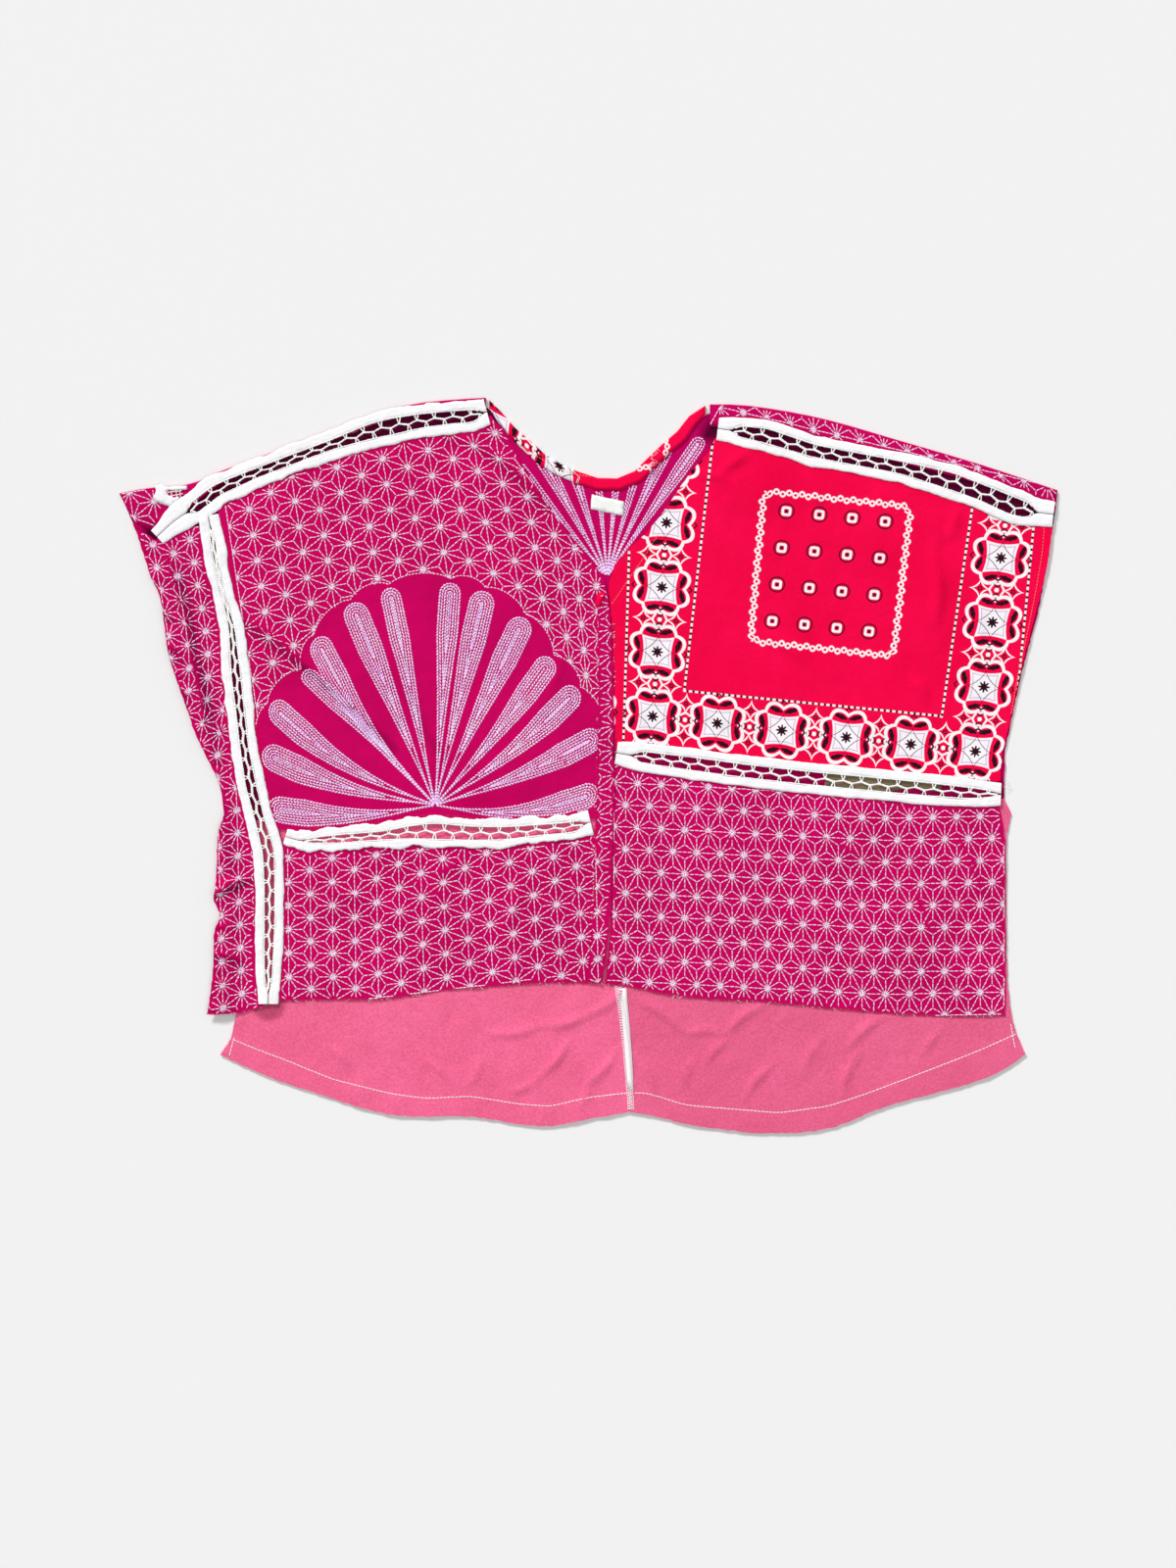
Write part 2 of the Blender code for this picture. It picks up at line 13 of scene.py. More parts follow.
import bmesh
import bpy
import numpy as np
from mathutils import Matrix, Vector
from mathutils.bvhtree import BVHTree
from mathutils.geometry import delaunay_2d_cdt


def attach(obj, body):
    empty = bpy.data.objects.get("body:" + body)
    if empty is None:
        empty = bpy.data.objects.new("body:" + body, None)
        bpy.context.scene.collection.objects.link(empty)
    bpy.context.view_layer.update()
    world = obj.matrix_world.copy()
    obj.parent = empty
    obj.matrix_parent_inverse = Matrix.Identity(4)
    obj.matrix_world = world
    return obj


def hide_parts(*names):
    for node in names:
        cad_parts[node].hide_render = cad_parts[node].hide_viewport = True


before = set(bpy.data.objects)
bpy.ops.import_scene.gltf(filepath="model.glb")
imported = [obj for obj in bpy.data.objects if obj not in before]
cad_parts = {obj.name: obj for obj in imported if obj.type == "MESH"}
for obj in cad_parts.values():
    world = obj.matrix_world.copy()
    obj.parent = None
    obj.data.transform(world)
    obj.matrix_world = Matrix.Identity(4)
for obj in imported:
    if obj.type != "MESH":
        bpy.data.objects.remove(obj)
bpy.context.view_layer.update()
MM = 0.001
SEED = 7
dice = np.random.default_rng(SEED)

# %% [markdown]
# ## Camera, floor and light
# The top lies on a pale surface and is seen from straight above. A long lens a few metres up
# shows it with almost no perspective, and the lens follows from the height and the stretch of
# floor that the picture takes in. The light is even, so the lamps are suns, which do not fade
# across the floor. One comes low from the top of the picture, so that creases and stitches cast
# small soft shadows, and the other is wide and fills them, as a bright room does.

# %% Camera
VIEW_LENGTH = 1.408
VIEW_CENTRE = (-0.0004, -0.0167)
CAMERA_HEIGHT = 3.4
SENSOR = 0.036


def new_object(name, data):
    """A camera, a lamp or a mesh, placed in the scene."""
    thing = bpy.data.objects.new(name, data)
    bpy.context.scene.collection.objects.link(thing)
    return thing


camera_data = bpy.data.cameras.new("camera")
camera_data.sensor_fit = "VERTICAL"
camera_data.sensor_height = SENSOR * 1000
camera_data.lens = SENSOR * 1000 * CAMERA_HEIGHT / VIEW_LENGTH
camera = new_object("camera", camera_data)
camera.location = (*VIEW_CENTRE, CAMERA_HEIGHT)
bpy.context.scene.camera = camera
bpy.context.scene.view_settings.view_transform = "Standard"
print("lens in mm:", round(camera_data.lens, 1))

# %% Floor
FLOOR_SIZE = 9.0
FLOOR_DROP = 0.0002
FLOOR_GREY = 0.80


def set_inputs(node, values):
    for label, value in values.items():
        node.inputs[label].default_value = value


def new_material(name, roughness):
    """A new material, with its node tree and its shader."""
    material = bpy.data.materials.new(name)
    material.use_nodes = True
    shader = material.node_tree.nodes["Principled BSDF"]
    set_inputs(shader, {"Roughness": roughness})
    return material, material.node_tree, shader


half = FLOOR_SIZE / 2
floor_mesh = bpy.data.meshes.new("floor")
floor_corners = [(-half, -half), (half, -half), (half, half), (-half, half)]
floor_mesh.from_pydata([(x, y, -FLOOR_DROP) for x, y in floor_corners], [], [(0, 1, 2, 3)])
floor_material, _, floor_shader = new_material("pale_floor", 0.9)
set_inputs(floor_shader, {"Base Color": (FLOOR_GREY, FLOOR_GREY, FLOOR_GREY, 1.0)})
floor_mesh.materials.append(floor_material)
new_object("floor", floor_mesh)

# %% Lamps
LAMPS = (
    # name, the way to the lamp, strength, how wide it looks in degrees
    ("window", (-0.45, 0.78, 0.52), 3.0, 12.0),
    ("ceiling", (0.15, -0.25, 1.0), 0.95, 50.0),
)
ROOM_LIGHT = 0.34
for name, way, strength, wide in LAMPS:
    lamp_data = bpy.data.lights.new(name, "SUN")
    lamp_data.energy = strength
    lamp_data.angle = math.radians(wide)
    lamp = new_object(name, lamp_data)
    lamp.rotation_euler = Vector(way).to_track_quat("Z", "Y").to_euler()
world = bpy.data.worlds.new("room")
world.use_nodes = True
set_inputs(world.node_tree.nodes["Background"],
           {"Color": (1.0, 1.0, 1.0, 1.0), "Strength": ROOM_LIGHT})
bpy.context.scene.world = world
print("lamps:", [row[0] for row in LAMPS])

# %% [markdown]
# ## Writing a material as sums
# A pattern such as a print is a long sum of distances and edges, and wiring each node by hand
# would hide the idea. This small class holds one socket of a node tree. Adding or comparing two
# of them makes the Math node for it, so a pattern reads like the formula that it is.


# %% Node sums
class Sum:
    """A number inside a material, as the output socket of a node."""

    def __init__(self, tree, socket):
        self.tree = tree
        self.socket = socket

    def math(self, operation, *others):
        node = self.tree.nodes.new("ShaderNodeMath")
        node.operation = operation
        for slot, value in zip(node.inputs, (self, *others)):
            if isinstance(value, Sum):
                self.tree.links.new(value.socket, slot)
            else:
                slot.default_value = value
        return Sum(self.tree, node.outputs[0])

    __add__ = partialmethod(math, "ADD")
    __sub__ = partialmethod(math, "SUBTRACT")
    __mul__ = partialmethod(math, "MULTIPLY")
    __truediv__ = partialmethod(math, "DIVIDE")
    __neg__ = partialmethod(math, "MULTIPLY", -1.0)
    absolute = partialmethod(math, "ABSOLUTE")
    highest = partialmethod(math, "MAXIMUM")
    lowest = partialmethod(math, "MINIMUM")
    power = partialmethod(math, "POWER")
    sine = partialmethod(math, "SINE")

    def wrapped(self, low, high):
        return self.math("WRAP", high, low)

    def inside(self, edge, blur):
        """1 where this is below the edge and 0 above it, with a soft step between."""
        node = self.tree.nodes.new("ShaderNodeMapRange")
        node.interpolation_type = "SMOOTHSTEP"
        self.tree.links.new(self.socket, node.inputs["Value"])
        set_inputs(node, {"From Min": edge - blur, "From Max": edge + blur, "To Min": 1.0,
                          "To Max": 0.0})
        return Sum(self.tree, node.outputs["Result"])


def length_of(x, y):
    return (x * x + y * y).math("SQRT")


# %% [markdown]
# ## Cotton cloth
# All the panels are plain-weave cotton: matt, with a faint fuzz, a fine grid of threads and a
# dye that is a little uneven. One function makes each of these cloths from its colours. The
# weave is a pair of fine waves in the height, and the unevenness mixes a lighter and a darker
# shade of the dye with noise at two sizes, one for the threads and one for the wash.


# %% Noise and mixing
def noise(tree, coordinates, scale, detail=2.0, rough=0.5):
    node = tree.nodes.new("ShaderNodeTexNoise")
    set_inputs(node, {"Scale": scale, "Detail": detail, "Roughness": rough})
    tree.links.new(coordinates, node.inputs["Vector"])
    return Sum(tree, node.outputs["Fac"])


def mix(tree, share, first, second):
    """Colour mixed from the first to the second by a share from 0 to 1."""
    node = tree.nodes.new("ShaderNodeMix")
    node.data_type = "RGBA"
    tree.links.new(share.socket, node.inputs["Factor"])
    for key, value in (("A", first), ("B", second)):
        slot = [s for s in node.inputs if s.name == key and s.type == "RGBA"][0]
        if isinstance(value, tuple):
            slot.default_value = (*value, 1.0)
        else:
            tree.links.new(value, slot)
    return [s for s in node.outputs if s.type == "RGBA"][0]


# %% Cloth material
THREAD_PITCH = 0.0009
WASH, THREADS, FUZZ, CRUMPLES = 14.0, 520.0, 260.0, 38.0


def cloth_material(name, dark, light, sheen=0.12, fleck=0.35, crumple=0.35, pattern=None,
                   gloss=0.05, rough=0.88):
    """Dyed cotton, with noise at four scales. The pattern, if any, paints on the dyed colour."""
    material, tree, shader = new_material(name, rough)
    place = tree.nodes.new("ShaderNodeTexCoord").outputs["Object"]
    split = tree.nodes.new("ShaderNodeSeparateXYZ")
    tree.links.new(place, split.inputs["Vector"])
    x, y = Sum(tree, split.outputs["X"]), Sum(tree, split.outputs["Y"])
    wash, threads = noise(tree, place, WASH, 3.0), noise(tree, place, THREADS, 2.0, 0.7)
    share = wash * (1.0 - fleck) + threads * fleck
    spread = (share - 0.5) * 2.2 + 0.5
    colour = mix(tree, spread.highest(0.0).lowest(1.0), dark, light)
    if pattern is not None:
        colour = pattern(tree, colour)
    tree.links.new(colour, shader.inputs["Base Color"])
    set_inputs(shader, {"Sheen Weight": sheen, "Sheen Roughness": 0.6, "Sheen Tint": (*light, 1.0),
                        "Specular IOR Level": gloss})
    turn = 2 * math.pi / THREAD_PITCH
    weave = (x * turn).sine() * (y * turn).sine()
    height = weave * 0.10 + noise(tree, place, FUZZ, 3.0) * crumple
    height = height + noise(tree, place, CRUMPLES, 4.0, 0.6) * crumple * 7.0
    bump = tree.nodes.new("ShaderNodeBump")
    set_inputs(bump, {"Strength": 0.5, "Distance": 0.0012})
    tree.links.new(height.socket, bump.inputs["Height"])
    tree.links.new(bump.outputs["Normal"], shader.inputs["Normal"])
    return material


# %% Dyed cottons
# The colours of painted shade: cloth darkens towards these behind the lace and along deep folds.
SHADE = (0.075, 0.0, 0.022)
PINK_SHADE = (0.26, 0.018, 0.05)


def shaded(shade):
    """A pattern that paints shade on cloth, where its mesh stores how much shade falls there."""
    def paint(tree, ground):
        share = tree.nodes.new("ShaderNodeAttribute")
        share.attribute_name = "shade"
        return mix(tree, Sum(tree, share.outputs["Fac"]), ground, shade)
    return paint


star_cloth = cloth_material("magenta_cotton", (0.43, 0.0, 0.082), (0.60, 0.0, 0.118),
                            pattern=shaded(SHADE))
back_cloth = cloth_material("back_cotton", (0.43, 0.0, 0.088), (0.58, 0.0, 0.120),
                            pattern=shaded(SHADE))
fan_cloth = cloth_material("fan_cotton", (0.45, 0.0, 0.082), (0.61, 0.0, 0.116),
                           pattern=shaded(SHADE))
pink_cloth = cloth_material("pink_cotton", (0.70, 0.082, 0.19), (0.95, 0.18, 0.36), fleck=0.75,
                            pattern=shaded(PINK_SHADE))
print("cloth materials:", [m.name for m in (star_cloth, fan_cloth, pink_cloth)])

# %% [markdown]
# ## Cloth panels
# Each panel is a thin sheet. Its outline and its main folds come from the frame's own piece, and
# the sheet is filled with small, even triangles by a constrained Delaunay fill, so that it can
# take fine creases. The raw edges of this top are torn, so the outline is divided finely and
# shaken a little. The height is read from the frame's piece, smoothed, and then small creases
# are added, which fade out where the cloth is sewn flat under the lace.


# %% Reading the frame's pieces
UPWARD = 0.35
CLEAR = 0.05


def merged_copy(node):
    """The frame's mesh with its doubled corners joined, as a bmesh."""
    body = bmesh.new()
    body.from_mesh(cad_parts[node].data)
    bmesh.ops.remove_doubles(body, verts=body.verts, dist=1e-6)
    body.normal_update()
    return body


def faces_up(face):
    return face.normal.z > UPWARD


def plan_loops(node):
    """The outline of a flat piece seen from above, and the loops of its holes."""
    body = merged_copy(node)
    ahead = {}
    for face in body.faces:
        if faces_up(face):
            for loop in face.loops:
                if sum(map(faces_up, loop.edge.link_faces)) == 1:
                    start, end = loop.vert, loop.link_loop_next.vert
                    ahead[start.co.xy.to_tuple(6)] = end.co.xy.to_tuple(6)
    body.free()
    loops = []
    while ahead:
        start = next(iter(ahead))
        loop, corner = [], start
        while corner in ahead:
            loop.append(corner)
            corner = ahead.pop(corner)
        loops.append(np.array(loop))
    return sorted(loops, key=lambda loop: -np.ptp(loop[:, 0]) * np.ptp(loop[:, 1]))


def surface_of(node):
    body = merged_copy(node)
    tree = BVHTree.FromBMesh(body)
    body.free()
    return tree


def height_on(tree, x, y, otherwise=math.nan, down=True):
    """The height of a surface at x and y, looking down on it, or up from below it."""
    start, way = (CLEAR, -1.0) if down else (-CLEAR, 1.0)
    hit = tree.ray_cast(Vector((x, y, start)), Vector((0.0, 0.0, way)))[0]
    return otherwise if hit is None else hit.z


def top_height(surfaces, x, y, otherwise=math.nan):
    """The height of the topmost of several surfaces at x and y."""
    found = [height_on(tree, x, y) for tree in surfaces]
    return max((z for z in found if not math.isnan(z)), default=otherwise)


def levels(tree, points):
    """The height of a piece's top at each point, and how thick the piece is there."""
    top = np.array([height_on(tree, x, y) for x, y in points])
    low = np.array([height_on(tree, x, y, down=False) for x, y in points])
    thick = top - low
    top[np.isnan(top)] = np.nanmedian(top)
    thick[np.isnan(thick)] = np.nanmedian(thick)
    return top, thick


# %% Filling an outline
EDGE_STEP = 0.0035


def divided(loop, step, shake):
    """The loop with a point at each step, each moved a little at random."""
    points = []
    for start, end in zip(loop, np.roll(loop, -1, axis=0)):
        count = max(1, round(float(np.linalg.norm(end - start)) / step))
        points += [start + (end - start) * k / count for k in range(count)]
    points = np.array(points)
    return points + dice.uniform(-shake, shake, points.shape)


def inside_loop(points, loop):
    """Which points lie inside a loop, by counting the edges that a ray to the right crosses."""
    x, y = points[:, 0], points[:, 1]
    odd = np.zeros(len(points), bool)
    for (x0, y0), (x1, y1) in zip(loop, np.roll(loop, -1, axis=0)):
        if y0 != y1:
            crosses = (y0 > y) != (y1 > y)
            odd ^= crosses & (x < (x1 - x0) * (y - y0) / (y1 - y0) + x0)
    return odd


def filled(loop, spacing):
    """Even triangles that fill a loop: their points, and the three corners of each."""
    low, high = loop.min(axis=0), loop.max(axis=0)
    row_step = spacing * math.sqrt(3) / 2
    rows = []
    for i, y in enumerate(np.arange(low[1], high[1], row_step)):
        xs = np.arange(low[0] + (i % 2) * spacing / 2, high[0], spacing)
        rows.append(np.stack([xs, np.full(len(xs), y)], axis=1))
    grid = np.concatenate(rows)
    grid = grid + dice.uniform(-0.12, 0.12, grid.shape) * spacing
    grid = grid[inside_loop(grid, loop)]
    rim_tree = BVHTree.FromPolygons(
        [(x, y, 0.0) for x, y in loop] + [(x, y, spacing) for x, y in loop],
        [(i, (i + 1) % len(loop), (i + 1) % len(loop) + len(loop), i + len(loop))
         for i in range(len(loop))],
    )
    clear = [rim_tree.find_nearest((x, y, 0.0))[3] > spacing * 0.55 for x, y in grid]
    grid = grid[np.array(clear)]
    points = np.concatenate([loop, grid])
    rim = [(i, (i + 1) % len(loop)) for i in range(len(loop))]
    found = delaunay_2d_cdt([Vector(p) for p in points], rim, [], 1, 1e-7)
    return np.array([tuple(p) for p in found[0]]), [tuple(f) for f in found[2]]


# %% Creases
CREASE_LIFT, CREASE_BOW, CREASE_NARROW = 1.6, 0.4, 0.45
WAVES, WAVE_GAIN = 9, 1.6


def from_line(points, x0, y0, x1, y1):
    """For each point: its share of the way along a line, and how it lies from the line."""
    start, run = np.array([x0, y0]), np.array([x1 - x0, y1 - y0])
    share = np.clip((points - start) @ run / (run @ run), 0.0, 1.0)
    return share, points - start - share[:, None] * run


def crease_height(points, creases):
    """How much the creases lift points. A row is x0, y0, x1, y1, height and half width in mm."""
    total = np.zeros(len(points))
    for x0, y0, x1, y1, height, half in np.array(creases, float).reshape(-1, 6) * MM:
        share, offset = from_line(points, x0, y0, x1, y1)
        swell = np.sin(share * math.pi)
        side = np.array([y0 - y1, x1 - x0]) / math.hypot(x1 - x0, y1 - y0)
        away = np.linalg.norm(offset - (swell * half * CREASE_BOW)[:, None] * side, axis=1)
        narrow = half * CREASE_NARROW * (0.5 + 0.5 * swell)
        total += height * CREASE_LIFT * np.exp(-((away / narrow) ** 2)) * (0.3 + 0.7 * swell)
    return total


def ripple(points, size, height, seed):
    """Soft random unevenness, made of a few waves with turned directions."""
    own = np.random.default_rng(seed)
    total = np.zeros(len(points))
    for _ in range(WAVES):
        angle, phase = own.uniform(0, 2 * math.pi, 2)
        pitch = size * own.uniform(0.7, 1.6)
        total += np.sin((points @ [math.cos(angle), math.sin(angle)]) * 2 * math.pi / pitch + phase)
    return total / WAVES * height * WAVE_GAIN


# %% Where the lace holds the cloth flat
HOLD_REACH = 0.012
LACE_LOW, LACE_TOP = 3.0, 4.4
lace_surfaces = [surface_of(name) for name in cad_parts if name.startswith("lace_")]


def calm_share(points):
    """0 under the lace and 1 away from it."""
    away = np.full(len(points), np.inf)
    for tree in lace_surfaces:
        for i, (x, y) in enumerate(points):
            near = tree.find_nearest((x, y, LACE_LOW * MM), HOLD_REACH * 1.5)
            if near[0] is not None:
                away[i] = min(away[i], (near[0].xy - Vector((x, y))).length)
    share = np.clip(away / HOLD_REACH, 0.0, 1.0)
    return share * share * (3 - 2 * share)


# %% The panel maker
SHEET = 0.0008
DOUBLED = 0.0016


def add_piece(name, mesh, material, nodes=()):
    """Puts a finished mesh in the scene, on the frame's one body."""
    piece = new_object(name, mesh)
    mesh.materials.clear()
    mesh.materials.append(material)
    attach(piece, "root")
    if nodes:
        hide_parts(*nodes)
    return piece


def neighbours_mean(values, pairs, count):
    total, number = np.zeros(count), np.zeros(count)
    for a, b in ((0, 1), (1, 0)):
        np.add.at(total, pairs[:, a], values[pairs[:, b]])
        np.add.at(number, pairs[:, a], 1)
    return total / np.maximum(number, 1)


def sheet_mesh(name, points, top, low, triangles):
    """A thin closed sheet: triangles at their top and low heights, and a wall round the rim."""
    count = len(points)
    sides = {(t[k], t[(k + 1) % 3]): t for t in triangles for k in range(3)}
    rim = [pair for pair in sides if pair[::-1] not in sides]
    verts = [(*p, z) for p, z in zip(points, top)] + [(*p, z) for p, z in zip(points, low)]
    faces = list(triangles) + [tuple(count + k for k in reversed(t)) for t in triangles]
    faces += [(b, a, count + a, count + b) for a, b in rim]
    mesh = bpy.data.meshes.new(name)
    mesh.from_pydata(verts, [], faces)
    mesh.shade_smooth()
    print(name, "has", len(faces), "faces")
    return mesh


def add_print(mesh, uv):
    """Stores the units of the print at the corners of a mesh."""
    layer = mesh.uv_layers.new(name="print")
    at = [uv(*vert.co.xy) for vert in mesh.vertices]
    for corner in mesh.loops:
        layer.data[corner.index].uv = at[corner.vertex_index]


def cloth_panel(name, node, material, spacing=0.0048, shake=0.0004, soften=14,
                creases=(), uneven=0.0006, seed=1, raise_at=None, uv=None, wider=None):
    """A thin sheet on a node's outline and folds, with fine creases."""
    outline = plan_loops(node)[0]
    if wider is not None:
        outline = wider(outline)
    loop = divided(outline, EDGE_STEP, shake)
    points, triangles = filled(loop, spacing)
    cad = surface_of(node)
    count = len(points)
    pairs = np.array([(t[k], t[(k + 1) % 3]) for t in triangles for k in range(3)])
    heights, thick = levels(cad, points)
    for _ in range(soften):
        heights = 0.4 * heights + 0.6 * neighbours_mean(heights, pairs, count)
    free = calm_share(points)
    fine = crease_height(points, creases) + np.abs(ripple(points, 0.055, uneven, seed))
    fine += ripple(points, 0.016, uneven * 0.35, seed + 50)
    heights = heights + fine * free
    if raise_at is not None:
        heights = heights + raise_at(points)
    low = np.maximum(heights - np.where(thick > DOUBLED, thick, SHEET), 0.0)
    mesh = sheet_mesh(name, points, heights, low, triangles)
    mesh.set_sharp_from_angle(angle=math.radians(60))
    if uv is not None:
        add_print(mesh, uv)
    return add_piece(name, mesh, material, (node,))


# %% [markdown]
# ## The panels
# The creases of each panel are rows of a small table: where the crest starts and ends, how high
# it is and how wide. They follow what can be seen: deep folds fan out from the hem and from the
# seams, where the cloth is gathered or pulled by the lace.

# %% Creases, in millimetres
FAN_CREASES = (
    # x0, y0, x1, y1, height, half width
    (-308, 131, -258, 94, 2.0, 9), (-268, 100, -212, 52, 2.4, 9), (-220, 58, -176, 18, 2.0, 9),
    (-128, 296, -97, 287, 1.2, 7), (-97, 287, -62, 260, 1.6, 8), (-62, 260, -40, 230, 1.2, 8),
    (-290, 232, -262, 200, 1.0, 8), (-300, 30, -250, -20, 1.1, 8), (-30, 20, -12, -30, 1.0, 7),
    (-180, 280, -140, 236, 0.9, 8), (-20, 120, -36, 60, 1.0, 7), (-160, 20, -130, -20, 0.8, 7),
)
BAND_CREASES = (
    (-236, -112, -190, -128, 1.0, 8), (-160, -100, -120, -132, 1.1, 8),
    (-60, -90, -76, -150, 1.2, 9), (-20, -80, -8, -140, 1.0, 7), (-110, -80, -140, -100, 0.9, 7),
)
BANDANA_CREASES = (
    (118, 260, 150, 283, 2.4, 8), (308, 195, 312, 124, 2.4, 10), (290, 80, 303, 54, 1.8, 8),
    (80, 262, 112, 292, 1.5, 8), (196, 262, 204, 222, 1.6, 9), (330, 236, 322, 200, 2.0, 8),
    (92, 60, 130, 24, 1.6, 8), (40, 150, 60, 100, 1.6, 8), (240, 60, 262, 10, 1.8, 9),
    (350, 160, 346, 90, 1.6, 8), (150, 120, 200, 90, 1.2, 10), (254, 254, 262, 226, 1.5, 8),
    (98, 262, 128, 252, 1.6, 7), (36, 60, 52, 24, 1.6, 7), (300, 232, 316, 196, 1.6, 8),
)
RIGHT_CREASES = (
    (90, -60, 150, -76, 1.0, 8), (200, -60, 252, -90, 1.1, 8), (330, -60, 352, -120, 1.5, 9),
    (40, -40, 60, -100, 1.0, 8), (160, -120, 190, -150, 1.1, 8), (290, -110, 306, -160, 1.1, 8),
)
PINK_LEFT_CREASES = (
    (30, -202, -2, -224, 1.8, 8), (-2, -224, -40, -233, 1.8, 8), (-40, -233, -90, -241, 1.4, 8),
    (-18, -245, -42, -277, 1.8, 8), (-42, -277, -72, -295, 1.2, 7), (26, -254, 0, -285, 1.6, 7),
    (0, -285, -9, -307, 1.0, 6), (-240, -250, -210, -274, 1.0, 8), (-150, -262, -120, -290, 1.2, 7),
    (-96, -262, -110, -290, 1.0, 7), (-300, -230, -276, -252, 0.8, 8),
)
PINK_RIGHT_CREASES = (
    (42, -210, 88, -241, 1.8, 8), (88, -241, 123, -241, 1.4, 8), (123, -241, 158, -215, 1.6, 8),
    (105, -268, 127, -246, 1.4, 7), (140, -298, 167, -268, 1.6, 7), (233, -254, 268, -224, 1.6, 8),
    (228, -298, 242, -259, 1.4, 8), (44, -262, 60, -296, 1.2, 7), (190, -280, 214, -240, 1.0, 8),
    (300, -262, 320, -236, 1.0, 8), (84, -292, 96, -262, 1.0, 6),
)
SIDE_CREASES = (
    (-374, 172, -356, 98, 2.8, 9), (-360, 106, -344, 38, 2.8, 9), (-334, -115, -304, -101, 2.4, 8),
    (-334, 38, -322, 6, 1.8, 7), (-342, -121, -326, -112, 1.6, 7), (-352, 190, -346, 140, 1.6, 8),
    (-318, -30, -306, -60, 1.4, 7), (-336, -170, -312, -176, 1.6, 7),
    (-390, 200, -372, 170, 1.6, 8), (-398, 150, -376, 132, 1.8, 7), (-390, 112, -368, 98, 1.8, 7),
    (-380, 72, -360, 60, 1.6, 7), (-372, 30, -350, 24, 1.6, 7), (-362, -14, -340, -18, 1.6, 7),
    (-356, -52, -336, -50, 1.6, 7),
)

# %% Gathers
GATHER_PITCH, GATHER_RISE, GATHER_DEPTH = 0.0125, 0.0017, 0.034


def side_gathers(points):
    """Small ridges that run in from the outer edge of the side strip, where it is drawn up."""
    loop = plan_loops("front_left_side")[0]
    top, low = loop[:, 1].max(), loop[:, 1].min()
    heights = np.linspace(low, top, 60)
    outer = [loop[np.abs(loop[:, 1] - y) < 0.02][:, 0].min() for y in heights]
    inward = points[:, 0] - np.interp(points[:, 1], heights, outer)
    fade = np.clip(1.0 - inward / GATHER_DEPTH, 0.0, 1.0)
    turn = points[:, 1] * 2 * math.pi / GATHER_PITCH + np.sin(points[:, 1] * 130) * 1.3
    return GATHER_RISE * fade * np.abs(np.sin(turn / 2))


# %% Back and front panels
panel_rows = (
    # name, node, material, slot, creases, grid, smoothing rounds, unevenness
    ("back", "back_upper", back_cloth, "star_cloth", (), 0.0085, 8, 0.0003),
    ("back_low_left", "back_lower_left", pink_cloth, "pink_cloth", PINK_LEFT_CREASES,
     0.0036, 14, 0.0007),
    ("back_low_right", "back_lower_right", pink_cloth, "pink_cloth", PINK_RIGHT_CREASES,
     0.0036, 14, 0.0007),
    ("fan_panel", "front_left_fan", fan_cloth, "fan_cloth", FAN_CREASES, 0.0038, 14, 0.0007),
    ("left_band", "front_left_band", star_cloth, "star_cloth", BAND_CREASES, 0.0046, 14, 0.0007),
    ("left_side", "front_left_side", star_cloth, "star_cloth", SIDE_CREASES, 0.0026, 3, 0.0006),
    ("right_band", "front_right_band", star_cloth, "star_cloth", RIGHT_CREASES,
     0.0046, 14, 0.0007),
)
panels = {}
for number, (name, node, material, slot, creases, grid, soften, uneven) in enumerate(panel_rows):
    panels[name] = cloth_panel(
        name, node, material, creases=creases, uneven=uneven, seed=number,
        soften=soften, spacing=grid, raise_at=side_gathers if name == "left_side" else None,
    )


# %% [markdown]
# ## One stitch, many times
# Hand and machine embroidery is one small loop of thread, repeated. The node tree below takes a
# mesh of loose edges, and lays one stitch along each edge: a bead of thread, long, low and
# rounded, pointed at its ends. The edges say where the stitches go, so the same tree makes the
# stars, the fan, the hems and the threads of the lace. Its named inputs are the thread's width,
# its height, how far a stitch reaches along its edge, and how uneven the widths are.


